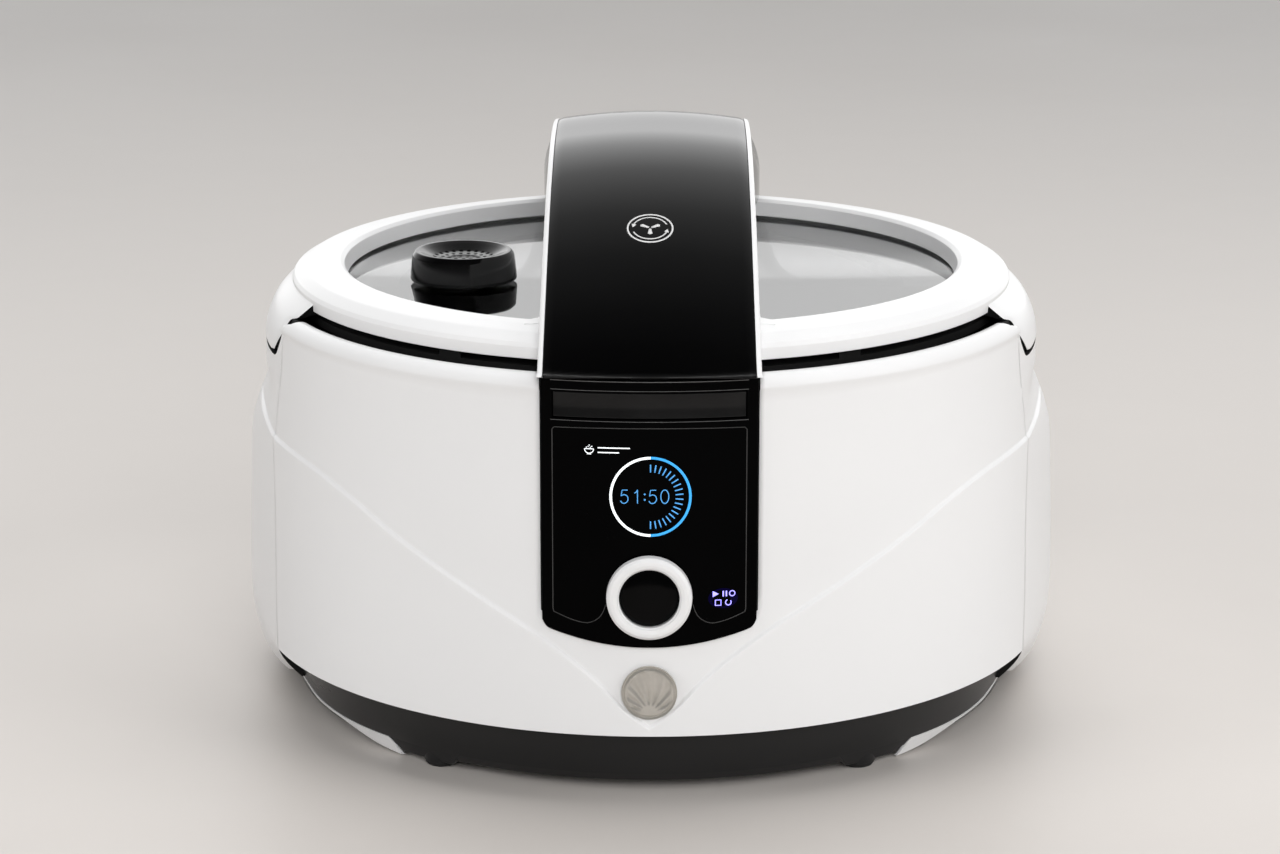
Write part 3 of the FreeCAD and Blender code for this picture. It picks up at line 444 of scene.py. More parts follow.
CARRIED = {
    NONSTICK: ["inner_pot"],
    ALUMINIUM: ["heating_plate", "sensor_cup", "heat_shield"],
    STEEL: ["heater_element", "plate_supports", "sensor_spring", "hinge_bracket", "hinge_pin", "hinge_spring",
            "inlet_pins", "base_screws", "latch_spring", "button_spring", "lid_screws", "stir_shaft",
            "stir_motor", "thermal_fuse"],
    PLASTIC: ["shaft_bush", "drive_gear", "motor_pinion", "stir_paddle", "gearbox_plate", "sensor_plunger"],
    BOARD: ["power_board", "control_board", "stir_key_board"],
    WIRE: ["wire_harness"],
    SILICONE: ["lid_seal", "vent_grommet", "glass_gasket"],
    LINER_AND_SHADE: ["upper_rim", "lid_liner"],
    SATIN: ["bottom_plate", "display_module", "encoder", "power_inlet", "lid_knuckle",
            "latch_hook", "latch_catch"],
}
for material, names in CARRIED.items():
    for name in names:
        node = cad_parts[name]
        node.data.materials.clear()
        node.data.materials.append(material)


# --- body plan ------------------------------------------------------------------------------------
def shell_r(z):
    if z <= SHOULDER_Z:
        return curve(SHELL, z)
    t = min((z - SHOULDER_Z) / (RIM_Z - SHOULDER_Z), 1.0)
    top = curve(SHELL, SHOULDER_Z)
    return RIM_OUT + (top - RIM_OUT) * math.sqrt(max(1 - t * t, 0.0))


def low_r(z):
    """Front radius of the body, with the flank's lower lip drawn in under the front shell."""
    if z >= 35.0:
        return shell_r(z)
    return 183.2 + (193.8 - 183.2) * math.sin(math.pi / 2 * (z - 6.0) / 29.0)


def side_point(z, t, mirror):
    """The body's side and back at a height: t runs 0..1 along the flat flank, 1..2 round the back."""
    start = math.radians(curve(SEAM, z))
    r = low_r(z)
    p = Vector((r * math.sin(start), -r * math.cos(start)))
    half = curve(FLANK, z) if z <= 166.0 else shell_r(z)
    blend = smooth((z - 150.0) / 18.0)
    wide = half - 0.9 * (1 - blend)
    back = half - REAR_INSET * min(1.0, max(half - 189.0, 0.0) / 10.0)
    q = Vector((wide, FLANK_Y))
    if t <= 1.0:
        flat = p.lerp(q, t)
        bow = 1.3 * (1 - (2 * t - 1) ** 2)
        out = (q - p).normalized()
        flat = flat + Vector((out.y, -out.x)) * bow
        angle = math.atan2(flat.x, -flat.y)
        ring = Vector((r * math.sin(angle), -r * math.cos(angle)))
        point = flat.lerp(ring, blend)
    else:
        cy = (back ** 2 - wide ** 2 - FLANK_Y ** 2) / (2 * (back - FLANK_Y))
        radius = back - cy
        a0 = math.atan2(wide, FLANK_Y - cy)
        a = a0 * (2.0 - t)
        point = Vector((radius * math.sin(a), cy + radius * math.cos(a)))
    return (-point.x if mirror else point.x, point.y, z)


def ledge(z, line):
    """The skin below the crease stands a little proud of the skin above it."""
    return 0.70 * (1 - 2 * smooth((z - line + 1.1) / 2.2))


def crease_rows(line, low, high):
    below = spread(low, line - 1.3, 20, 2.2)
    band = [line + 0.25 * k for k in range(-4, 5)]
    above = [high - (high - (line + 1.3)) * i / 20 for i in range(20, -1, -1)]
    return below + band + above


def shoulder_rows():
    """(radius, height) over the body's rounded shoulder and down inside its rim."""
    rise = [SHOULDER_Z + (RIM_Z - SHOULDER_Z) * math.sin(math.pi / 2 * i / 10) for i in range(1, 11)]
    rim = [(181.6, RIM_Z), (RIM_IN + 0.4, RIM_Z - 0.25), (RIM_IN, RIM_Z - 0.9), (RIM_IN, RIM_Z - 4.5)]
    return [(shell_r(z), z) for z in rise] + rim


def window_angle(r):
    return math.degrees(math.asin(WINDOW_X / r))


def front_columns():
    """Column places across the front: 0 to 1 from the middle to the window's edge, 1 to 2 on to the seam."""
    inner = [i / 12 for i in range(12)]
    outer = [1 + i / 70 for i in range(71)]
    half = inner + outer
    return [-u for u in reversed(half)] + half[1:]


def column_angle(u, z, r):
    side = abs(u)
    edge = window_angle(r)
    angle = side * edge if side <= 1 else edge + (curve(SEAM, z) - edge) * (side - 1)
    return math.copysign(angle, u)


def build_front_shell():
    columns = front_columns()
    rows = []
    low = SHELL[0][0]
    count = len(crease_rows(100.0, low, SHOULDER_Z))
    for k in range(count):
        row = []
        for u in columns:
            angle = abs(column_angle(u, 100.0, 191.7))
            line = curve(CREASE, angle)
            z = crease_rows(line, low, SHOULDER_Z)[k]
            r = shell_r(z)
            a = math.radians(column_angle(u, z, r))
            r += ledge(z, line)
            row.append((r * math.sin(a), -r * math.cos(a), z))
        rows.append(row)
    lip = []
    for u in columns:
        a = math.radians(column_angle(u, low, 193.8))
        lip.append((192.6 * math.sin(a), -192.6 * math.cos(a), low - 0.8))
    rows.insert(0, lip)
    for r, z in shoulder_rows():
        rows.append([(r * math.sin(math.radians(column_angle(u, z, r))),
                      -r * math.cos(math.radians(column_angle(u, z, r))), z) for u in columns])

    def keep(x, y, z):
        return not (abs(x) < WINDOW_X and z > WINDOW_LOW)

    shell = open_gap(make_object("front_skin", *sheet(rows, keep), sharp=50.0))
    # The dark second material on the shell's edges and inner face is painted shade, in the seams, the ear
    # gaps and under the lower lip.
    thicken(shell, 2.4, WHITE, LINER_AND_SHADE)
    return shell


def build_side_shell():
    """One sheet from the right seam round the back to the left seam, with its ledge and rolled lower lip."""
    flat = [i / 26 for i in range(27)]
    round_back = [1 + i / 70 for i in range(1, 71)]
    path = [(t, False) for t in flat + round_back]
    path += [(t, True) for t in reversed(flat + round_back[:-1])]
    levels = [6.0, 7.5, 9.5, 12.0, 15.0, 18.5, 22.5, 27.0, 32.0, 38.0] + [44.0 + 6.0 * i for i in range(13)]
    levels += [121.0, 126.0, 130.0]
    upper = [149.0 + 3.0 * i for i in range(8)] + [174.0, 178.0, 182.0, 186.0, SHOULDER_Z]
    rows = []

    def crease_here(t):
        return 137.4 + 7.0 * min(t, 1.4)

    def point(t, mirror, z, push):
        x, y, z = side_point(z, t, mirror)
        length = math.hypot(x, y)
        return (x * (1 + push / length), y * (1 + push / length), z)

    def fade(t):
        return 1 - smooth((t - 0.45) / 0.75)

    def lifted(t, z):
        """The lower lip rises towards the front seam."""
        low = 6.0 + 13.0 * (1 - smooth(t / 0.7))
        return z if z >= 38.0 else low + (z - 6.0) * (38.0 - low) / 32.0

    def low_point(t, m, z, push):
        x, y, _ = point(t, m, z, push)
        return (x, y, lifted(t, z))

    rows.append([low_point(t, m, 6.0, -3.0) for t, m in path])
    for z in levels:
        rows.append([low_point(t, m, z, 0.70 * fade(t)) for t, m in path])
    for step in (-4.0, -2.0, -1.2, -0.8, -0.4, 0.0, 0.4, 0.8, 1.2, 2.0):
        row = []
        for t, m in path:
            line = crease_here(t)
            row.append(point(t, m, line + step, 0.70 * fade(t) * (1 - 2 * smooth((step + 1.1) / 2.2))))
        rows.append(row)
    for z in upper:
        rows.append([point(t, m, max(z, crease_here(t) + 3.0 + (z - 149.0) * 0.2), -0.70 * fade(t))
                     for t, m in path])
    for r, z in shoulder_rows():
        row = []
        for t, m in path:
            x, y, _ = side_point(z, t, m)
            length = math.hypot(x, y)
            row.append((x / length * r, y / length * r, z))
        rows.append(row)

    def keep(x, y, z):
        return not (y > 150 and abs(x) < HOUSING_X + 0.3 and z > 134.7)

    shell = open_gap(make_object("side_skin", *sheet(rows, keep), sharp=45.0))
    # The dark second material on the edges and inner face is painted shade, in the seams, the ear gaps and
    # under the lower lip.
    thicken(shell, 2.4, WHITE, LINER_AND_SHADE)
    return shell


def open_gap(obj):
    """Cuts the walls away behind and round each ear, along the ear's outline."""
    half = [(y + 2.8, z - EAR_GAP) for z, y in EAR]
    outline = [(-y, z) for y, z in half] + [(y, z) for y, z in reversed(half)]
    bm = bmesh.new()
    bm.from_mesh(obj.data)

    def near(v):
        x, y, z = v.co / MM
        return abs(x) > 140 and z > 158 and abs(y) < 84

    for (y0, z0), (y1, z1) in zip(outline, outline[1:] + outline[:1]):
        faces = [f for f in bm.faces if all(near(v) for v in f.verts)]
        geom = set(faces) | {e for f in faces for e in f.edges} | {v for f in faces for v in f.verts}
        bmesh.ops.bisect_plane(bm, geom=list(geom), dist=1e-7, plane_co=(0, y0 * MM, z0 * MM),
                               plane_no=(0, z1 - z0, y0 - y1))

    def inside(y, z):
        hit = False
        for (y0, z0), (y1, z1) in zip(outline, outline[1:] + outline[:1]):
            if (z0 > z) != (z1 > z) and y < (y1 - y0) * (z - z0) / (z1 - z0) + y0:
                hit = not hit
        return hit

    gone = []
    for f in bm.faces:
        x, y, z = f.calc_center_median() / MM
        if abs(x) > 140 and inside(y, z):
            gone.append(f)
    bmesh.ops.delete(bm, geom=gone, context="FACES")
    bm.to_mesh(obj.data)
    bm.free()
    return obj


def apply_all(obj):
    """Applies the modifiers and turns every face outwards."""
    apply_modifiers(obj)
    bm = bmesh.new()
    bm.from_mesh(obj.data)
    bmesh.ops.recalc_face_normals(bm, faces=bm.faces)
    bm.to_mesh(obj.data)
    bm.free()
    return obj


front_shell = apply_all(build_front_shell())
place(front_shell, "body", WHITE, "white_gloss", "front_shell")
side_shell = apply_all(build_side_shell())
inlet_low, inlet_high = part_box("power_inlet")
hole_x, hole_low, hole_high = (inlet_high.x / MM - INLET_FLANGE, inlet_low.z / MM + INLET_FLANGE,
                               inlet_high.z / MM - INLET_FLANGE)
corners = [(-hole_x, hole_low), (hole_x, hole_low), (hole_x, hole_high), (-hole_x, hole_high)]
cut(side_shell, make_object("inlet_cutter", *sweep([[(x, y, z) for x, z in corners] for y in (150.0,
                                                                                              230.0)])))
place(side_shell, "body", WHITE, "white_gloss", "rear_shell")


def build_liners():
    parts = []
    for side in (1, -1):
        outline = fillet([(180.4, 157.0), (184.2, 157.0, 1.0), (184.2, 159.4, 0.8), (184.0, 160.4, 0.8),
                          (184.0, 192.0, 2.0), (182.6, 196.9, 0.5), (180.5, 196.9)], 4)
        sections = []
        for i in range(49):
            y = -84 + 168 * i / 48
            sections.append([(side * math.sqrt(r * r - y * y), y, z) for r, z in outline])
        parts.append(sweep(sections))
    return make_object("grip_liners", *merged(*parts))


place(build_liners(), "body", LINER_AND_SHADE, "dark_satin", "grip_recesses")


# --- base -----------------------------------------------------------------------------------------
def skirt_r(z):
    return 178.3 + (z - 9.6) * (0.36 if z > 9.6 else 0.42)


def foot_block(sx, sy):
    """A block that carries a foot down from the skirt's edge, with a slanted end."""
    sections = []
    for i in range(17):
        share = i / 16
        section = []
        for r, z in ((skirt_r(11.0) - 0.3, 11.0), (skirt_r(9.4), 9.4), (skirt_r(3.4), 3.4),
                     (skirt_r(3.0) - 1.2, 2.6), (163.0, 2.6), (163.0, 11.0)):
            a = math.radians((29.5 + 13.6 * share) if z > 9.0 else (31.5 + 9.6 * share))
            section.append((sx * r * math.sin(a), sy * r * math.cos(a), z))
        sections.append(section)
    return sweep(sections)


def build_skirt():
    outline = fillet([(186.2, 33.0, 0.6), (186.9, 31.0, 1.5), (178.3, 9.6, 5.0), (176.2, 5.6, 1.0),
                      (172.4, 5.6, 0.6),
                      (172.4, 9.8), (183.4, 33.0)], 6)
    parts = [lathe(outline, 256)]
    for sx in (-1, 1):
        for sy in (-1, 1):
            block = fillet([(8.0, 2.4, 0.2), (8.6, 2.4, 0.2), (8.6, 10.0), (8.0, 10.0)], 3)
            parts.append(lathe(block, 48, (sx * FOOT_X, sy * FOOT_Y)))
            parts.append(foot_block(sx, sy))
    return make_object("base_skirt_skin", *merged(*parts))


place(build_skirt(), "body", SATIN, "dark_satin", "base_skirt")


def build_feet():
    foot = fillet([(0.01, 0.05), (7.0, 0.05, 0.8), (7.9, 1.3, 0.8), (7.9, 6.3, 0.2), (0.01, 6.3)], 4)
    tread = [lathe(foot, 48, (sx * FOOT_X, sy * FOOT_Y)) for sx in (-1, 1) for sy in (-1, 1)]
    return make_object("feet", *merged(*tread))


place(build_feet(), "body", RUBBER, "foot_rubber", "rubber_feet")


def build_corner_reflection_fins():
    """White fins that run on from each flank's lip along the skirt's foot and end beside the front feet.
    Their white is a painted reflection of the pale floor in the skirt's lower chamfer.
    """
    parts = []
    for side in (1, -1):
        sections = []
        for i in range(57):
            angle = 41.5 + 28.5 * i / 56
            top, low = curve(TRIM_TOP, angle), curve(TRIM_LOW, angle)
            if angle < 43.4:
                top = low + (top - low) * (angle - 41.4) / 2.0
            a = math.radians(angle)
            outline = [(skirt_r(top) - 0.8, top), (skirt_r(top) + 0.45, top - 0.05),
                       (skirt_r(low) + 0.45, low + 0.05),
                       (skirt_r(low) - 1.4, low)]
            sections.append([(side * r * math.sin(a), -r * math.cos(a), z) for r, z in outline])
        parts.append(sweep(sections))
    return make_object("corner_reflection_fins", *merged(*parts))


place(build_corner_reflection_fins(), "body", WHITE, "white_gloss", "corner_trims")


# --- lid ------------------------------------------------------------------------------------------
def ring_profile():
    return fillet([(RING_R - 0.1, 201.2, 0.5), (RING_R, 206.6, 1.0), (174.2, 208.5, 1.5), (168.4, 211.9, 5.0),
                   (159.0, 213.4, 8.0), (152.0, RING_TOP_Z, 1.6), (150.0, 212.2, 1.0), (148.6, 205.0, 0.3),
                   (153.4, 205.0), (153.4, 201.2)], 6)


def build_ears():
    path = through(EAR_PROFILE, 5)
    parts = []
    for side in (1, -1):
        sections = []
        count = 44
        for i in range(count + 1):
            share = -1 + 2 * i / count
            section = []
            for r, z in path:
                reach = curve(EAR, z) - EAR_BACK
                edge = 1 - abs(share)
                pinch = 0.9 * (1 - min(edge / 0.03, 1.0)) ** 2
                y = share * reach
                rr = r - pinch * (1 if r > 186.8 else 0.6)
                section.append((side * math.sqrt(rr * rr - y * y), y, z))
            sections.append(section)
        parts.append(sweep(sections))
    return merged(*parts)


def build_bridge():
    """The bar of the ring that runs under the arch, between the two windows."""
    sections = []
    for i in range(81):
        y = -150.5 + 301.0 * i / 80
        from_end = 150.5 - abs(y)
        flare = 7.0 * (1 - smooth(min((from_end - 7.0) / 9.0, 1.0))) ** 2 if from_end < 16 else 0.0
        half = SIDE_X + 1.0 + flare
        sections.append([(-half, y, 204.4), (half, y, 204.4), (half, y, 212.6),
                         (half - 1.0, y, RING_TOP_Z - 0.05),
                         (-half + 1.0, y, RING_TOP_Z - 0.05), (-half, y, 212.6)])
    return sweep(sections)


lid_parts = merged(lathe(ring_profile(), 320), build_ears(), build_bridge())
lid_frame = make_object("lid_ring", *lid_parts, sharp=40.0)
lid_frame.data.materials.append(WHITE)
lid_frame.data.materials.append(LINER_AND_SHADE)
# The ears' inward faces and ends below z 200 take the dark second material: painted shade in the hollow under
# each ear and in the gaps at its ends.
for face in lid_frame.data.polygons:
    middle = face.center / MM
    facing = (middle.x * face.normal.x + middle.y * face.normal.y) / math.hypot(middle.x, middle.y)
    if abs(middle.x) > 140 and middle.z < 200.0 and (facing < -0.2 or abs(face.normal.y) > 0.75):
        face.material_index = 1
place(lid_frame, "lid", WHITE, "white_gloss", "lid_frame")

glass_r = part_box("lid_glass")[1].x / MM
glass = make_object("window_pane", *lathe(fillet([
    (0.01, 200.3), (glass_r - 0.8, 200.3, 0.4), (glass_r, 201.4), (glass_r, 203.2),
    (glass_r - 0.8, 203.95, 0.4),
    (0.01, 203.95)], 3), 200))
place(glass, "lid", GLASS, "window_glass", "lid_glass")


# --- arch -----------------------------------------------------------------------------------------
def arch_top(x, y, drop=0.0):
    crown = CROWN_R - math.sqrt(CROWN_R ** 2 - x * x)
    r = ARCH_R - crown - drop
    return ARCH_Z + math.sqrt(r * r - y * y)


def arch_y(share, y0, y1):
    """Evenly spaced places along the arch's curve."""
    a0, a1 = math.asin(y0 / ARCH_R), math.asin(y1 / ARCH_R)
    return ARCH_R * math.sin(a0 + (a1 - a0) * share)


def floor_under(x, y):
    return RING_TOP_Z - 1.0 if math.hypot(x, y) < RING_R - 2.0 else ARCH_FOOT_Z


def build_arch_cover():
    """The black skin of the arch, with a fine joint across it in front of the crest."""
    steps, across = 150, 40
    joint = 27.0
    sections = []
    stations = [arch_y(i / steps, -193.2, 65.8) for i in range(steps + 1)]
    stations += [joint - 0.6, joint - 0.35, joint, joint + 0.35, joint + 0.6]
    for y in sorted(stations):
        groove = 0.5 * max(0.0, 1 - abs(y - joint) / 0.5)
        wide = curve(COVER_X, y)
        top, bottom = [], []
        for k in range(across + 1):
            x = wide * (-1 + 2 * k / across)
            edge = wide - abs(x)
            roll = 0.7 * (1 - math.sqrt(max(0.0, 1 - (1 - min(edge / 1.2, 1.0)) ** 2)))
            top.append((x, y, max(arch_top(x, y, roll + groove), ARCH_FOOT_Z + 0.3)))
            bottom.append((x, y, max(arch_top(x, y, 2.4), ARCH_FOOT_Z + 0.15)))
        sections.append(top + list(reversed(bottom)))
    return make_object("arch_skin", *sweep(sections), sharp=60.0)


def build_spine():
    """White housing under the black covers: its top edges show as trims, and its sides as walls."""
    steps = 140
    sections = []
    for i in range(steps + 1):
        y = arch_y(i / steps, -191.4, 152.0)
        inner = curve(COVER_X, y) + 0.1
        half = inner - 0.1 + TRIM
        low = floor_under(half, y)
        outline = []
        for x, drop in ((-half, 1.5), (-half + 0.15, 0.75), (-half + 0.6, 0.3), (-half + 1.2, 0.18),
                        (-inner, 0.2),
                        (-inner, 1.6)):
            outline.append((x, y, max(arch_top(x, y, drop), low + 0.2)))
        middle = [(-inner + 8, 3.0), (0.0, 3.0), (inner - 8, 3.0)]
        outline += [(x, y, max(arch_top(x, y, drop), low + 0.2)) for x, drop in middle]
        outline += [(-x, yy, z) for x, yy, z in reversed(outline[:6])]
        foot = [(half, y, low), (half - 2.2, y, low), (-half + 2.2, y, low), (-half, y, low)]
        wall = [(half, y, low + (outline[-1][2] - low) * s) for s in (0.75, 0.5, 0.25)]
        other = [(-x, yy, z) for x, yy, z in reversed(wall)]
        sections.append(outline + wall + foot + other)
    return make_object("spine_skin", *sweep(sections), sharp=42.0)


def build_rear_cover():
    """Black cover over the hinge end: flares a little, rolls over its edges and ends in the hinge barrel."""
    across = 40
    sections = []
    stations = [66.2 + (PIN.y - 0.6 - 66.2) * i / 90 for i in range(91)]
    for y in stations:
        flare = smooth((y - 66.0) / 84.0)
        half = SIDE_X + (57.4 - SIDE_X) * flare
        low = RING_TOP_Z + 0.3 if math.hypot(half, y) < RING_R + 0.6 else 200.0
        end = smooth((y - (PIN.y - 12.0)) / 12.0)
        top = []
        for k in range(across + 1):
            x = half * (-1 + 2 * k / across)
            edge = half - abs(x)
            roll = 3.2 * (1 - math.sqrt(max(0.0, 1 - (1 - min(edge / 4.0, 1.0)) ** 2)))
            z = max(arch_top(x, y, roll), low + 0.5)
            top.append((x, y, z - 0.6 * end))
        right = [(half, y, top[-1][2] + (low - top[-1][2]) * s) for s in (0.3, 0.6, 0.9)]
        foot = [(half - 0.4, y, low), (-half + 0.4, y, low)]
        left = [(-x, yy, z) for x, yy, z in reversed(right)]
        sections.append(top + right + foot + left)
    arc_points = [(PIN.y + r * math.cos(a), PIN.z + r * math.sin(a)) for r, order in ((12.3, 1), (11.3, -1))
                  for a in [math.radians(96 - 74 * i / 18) for i in range(19)][::order]]
    barrel = sweep([[(x, y, z) for y, z in arc_points] for x in (-57.0, -56.6, -30.0, 0.0, 30.0, 56.6, 57.0)])
    return make_object("rear_cover_skin", *merged(sweep(sections), barrel), sharp=50.0)


place(build_arch_cover(), "lid", ARCH_BLACK, "black_gloss", "arch_cover")
place(build_spine(), "lid", WHITE, "white_gloss", "spine_housing")
place(build_rear_cover(), "lid", ARCH_BLACK, "black_gloss", "hinge_cover")


# --- hinge housing on the body --------------------------------------------------------------------
def build_hinge_housing():
    pocket = [(PIN.y + 13.4 * math.cos(a), PIN.z + 13.4 * math.sin(a))
              for a in [math.radians(-5.0 - 85.0 * i / 12) for i in range(13)]]
    outline = fillet([(181.6, 135.4), (190.6, 135.4, 2.0), (197.4, 146.0, 6.0), (198.8, 156.0, 5.0),
                      (198.8, 192.0, 3.0), (197.6, 196.2, 1.5)], 5)
    outline += pocket + [(181.6, pocket[-1][1])]
    sections = []
    for i in range(61):
        x = HOUSING_X * (-1 + 2 * i / 60)
        edge = min(HOUSING_X - abs(x), 2.0) / 2.0
        pull = 1.6 * (1 - math.sqrt(max(0.0, 1 - (1 - edge) ** 2)))
        sections.append([(x, min(y, 199.0 - pull) if y > 190 else y, z) for y, z in outline])
    side = [(129.5, 189.6), (140.0, 188.6), (150.0, 187.4), (160.0, 186.7), (175.0, 186.6), (190.0, 186.6)]
    backing = []
    for x0, x1, top in ((-66.5, -57.0, 190.0), (57.0, 66.5, 190.0), (-66.5, 66.5, 139.0)):
        heights = [129.5 + (top - 129.5) * i / 8 for i in range(9)]
        strips = []
        for i in range(21):
            x = x0 + (x1 - x0) * i / 20
            outer = [(x, math.sqrt(curve(side, z) ** 2 - x * x), z) for z in heights]
            inner = [(x, y - 1.6, z) for _, y, z in reversed(outer)]
            strips.append(outer + inner)
        backing.append(sweep(strips))
    return make_object("hinge_housing_skin", *merged(sweep(sections), *backing), sharp=40.0)


place(build_hinge_housing(), "body", WHITE, "white_gloss", "hinge_housing")


# --- control panel --------------------------------------------------------------------------------
def panel_bottom(x):
    corner = 3.2 * max(0.0, (abs(x) - (PANEL_X - 4.0)) / 4.0) ** 3
    return 75.1 + 8.5 * (x / PANEL_X) ** 2 + corner


def panel_y(x, z, proud=0.8):
    r = curve(SHELL, z) + proud
    return -math.sqrt(r * r - x * x)


def on_panel(points, lift):
    """Puts (x, z) points on the panel's face, raised by lift."""
    return [(x, panel_y(x, z) - lift, z) for x, z in points]


def build_panel():
    bar_low, bar_high = (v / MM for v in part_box("release_bar"))
    half = bar_high.x + 0.35
    z0, z1 = bar_low.z - 0.35, bar_high.z + 0.35
    inner = [half * (-1 + 2 * i / 60) for i in range(61)]
    wing = [PANEL_X - 2.6, PANEL_X - 1.7, PANEL_X - 0.9, PANEL_X - 0.35, PANEL_X]
    xs = [-w for w in reversed(wing)] + inner + wing
    rows = []
    for i in range(49):
        t = i / 48
        rows.append([(x, panel_bottom(x) + (z0 - panel_bottom(x)) * t) for x in xs])
    for z in (z0 + 3.0, z0 + 6.0, z1 - 3.0, z1, PANEL_TOP - 1.6, PANEL_TOP - 0.6, PANEL_TOP):
        rows.append([(x, z) for x in xs])
    rows = [[(x, panel_y(x, z), z) for x, z in row] for row in rows]

    def keep(x, y, z):
        return not (abs(x) < half and z0 < z < z1)

    panel = make_object("panel_face", *sheet(rows, keep), sharp=50.0)
    thicken(panel, 2.6)
    soften(panel, 0.45, 3)
    return panel


place(build_panel(), "body", BLACK, "black_gloss", "panel_cover")


def build_bar():
    low, high = (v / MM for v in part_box("release_bar"))
    rows = []
    for i in range(17):
        z = low.z + (high.z - low.z) * i / 16
        dish = 0.9 * math.sin(math.pi * i / 16)
        rows.append([(x, -math.sqrt((189.55 - dish) ** 2 - x * x), z)
                     for x in [high.x * (-1 + 2 * k / 60) for k in range(61)]])
    bar = make_object("release_bar_skin", *sheet(rows), sharp=50.0)
    thicken(bar, 3.0)
    soften(bar, 0.4, 2)
    return bar


place(build_bar(), "release", BAR, "black_gloss", "release_bar")


def ribbon(points, width, lift, closed=False):
    """A flat line of a given width on the panel, through (x, z) points."""
    left, right = [], []
    n = len(points)
    for i in range(n):
        a = Vector(points[i - 1] if (i or closed) else points[i])
        b = Vector(points[(i + 1) % n] if (i < n - 1 or closed) else points[i])
        d = (b - a).normalized()
        side = Vector((-d.y, d.x)) * width / 2
        here = Vector(points[i])
        left.append(tuple(here + side))
        right.append(tuple(here - side))
    verts = on_panel(left, lift) + on_panel(right, lift)
    faces = [(i, i + 1, n + i + 1, n + i) for i in range(n - 1)]
    if closed:
        faces.append((n - 1, 0, n, 2 * n - 1))
    return verts, faces


def disc_patch(points, lift):
    return on_panel(points, lift), [tuple(range(len(points)))]


def arc(cx, cz, r, a0, a1, steps):
    return [(cx + r * math.cos(math.radians(a0 + (a1 - a0) * i / steps)),
             cz + r * math.sin(math.radians(a0 + (a1 - a0) * i / steps))) for i in range(steps + 1)]


def dense(points, step=1.5):
    """The same broken line with points at most a step apart, so that it follows the round face."""
    out = []
    for (x0, z0), (x1, z1) in zip(points, points[1:]):
        count = max(1, int(math.hypot(x1 - x0, z1 - z0) / step))
        out += [(x0 + (x1 - x0) * i / count, z0 + (z1 - z0) * i / count) for i in range(count)]
    return out + [points[-1]]


dial_low, dial_high = (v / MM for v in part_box("dial_ring"))
DIAL_Z = (dial_low.z + dial_high.z) / 2


def glow(name, material, *parts):
    obj = make_object(name, *merged(*parts))
    leaf(obj, 0.03)
    return place(obj, "body", material, "touch_light")


def build_display():
    for name, material, start in (("display_ring_white", GLOW_WHITE, 90),
                                  ("display_ring_blue", GLOW_BLUE, -90)):
        half_ring = arc(DISPLAY_X, DISPLAY_Z, DISPLAY_R, start, start + 180, 60)
        glow(name, material, ribbon(half_ring, 1.15, LIFT))
    ticks = []
    for i in range(20):
        a = math.radians(90 - 180 * i / 19)
        ends = [(DISPLAY_X + r * math.cos(a), DISPLAY_Z + r * math.sin(a)) for r in (11.1, 14.6)]
        ticks.append(ribbon(ends, 0.55, LIFT))
    glow("display_ticks", GLOW_DIGIT, *ticks)


def digit_paths(mark):
    """Strokes of a plain rounded numeral in a box 1 wide and 1.6 high."""
    if mark == "1":
        return [through([(0.30, 1.22), (0.48, 1.34), (0.62, 1.58), (0.62, 1.2), (0.62, 0.0)], 5)]
    if mark == "0":
        return [[(0.5 + 0.42 * math.cos(a), 0.8 + 0.79 * math.sin(a)) for a in
                 [2 * math.pi * i / 36 for i in range(37)]]]
    hook = [(0.86, 1.56), (0.28, 1.56), (0.16, 0.86), (0.34, 0.98), (0.56, 1.01), (0.80, 0.86), (0.90, 0.54),
            (0.80, 0.20), (0.54, 0.01), (0.28, 0.05), (0.10, 0.30)]
    return [hook[:3], through(hook[2:], 5)]


def build_digits():
    size = 4.2
    strokes = []
    x = DISPLAY_X - 13.7
    for mark in "51:50":
        if mark == ":":
            for z in (0.35, 1.05):
                dot = arc(x + 0.45, DISPLAY_Z - 2.6 + z * size * 0.85, 0.42, 0, 345, 15)
                strokes.append(disc_patch(dot, LIFT))
            x += 1.9
            continue
        for path in digit_paths(mark):
            stroke = [(x + u * size, DISPLAY_Z - 3.0 + v * size * 0.92) for u, v in path]
            strokes.append(ribbon(stroke, 0.42, LIFT))
        x += size * 1.27
    glow("display_digits", GLOW_DIGIT, *strokes)


def build_programme_icon():
    """A plain bowl of grains with two short bars beside it, where the cooker names its programme."""
    x, z, r = PROGRAMME_X, PROGRAMME_Z, 2.0
    bowl = [(x - r, z + 0.4)] + arc(x, z + 0.4, r, 180, 360, 20)
    foot = [(x - 0.9, z - 1.9), (x + 0.9, z - 1.9)]
    parts = [ribbon(bowl + [bowl[1]], 0.36, LIFT), ribbon(foot, 0.4, LIFT)]
    for gx, gz in ((-1.2, 1.1), (-0.4, 1.5), (0.5, 1.1), (1.2, 1.5), (0.1, 2.1)):
        parts.append(disc_patch(arc(x + gx, z + gz, 0.26, 0, 330, 11), LIFT))
    for k, length in enumerate((14.2, 9.4)):
        zz = z + 1.0 - 2.1 * k
        parts.append(ribbon(dense([(x + 3.8, zz), (x + 3.8 + length, zz)]), 0.5, LIFT))
    glow("programme_icon", GLOW_WHITE, *parts)


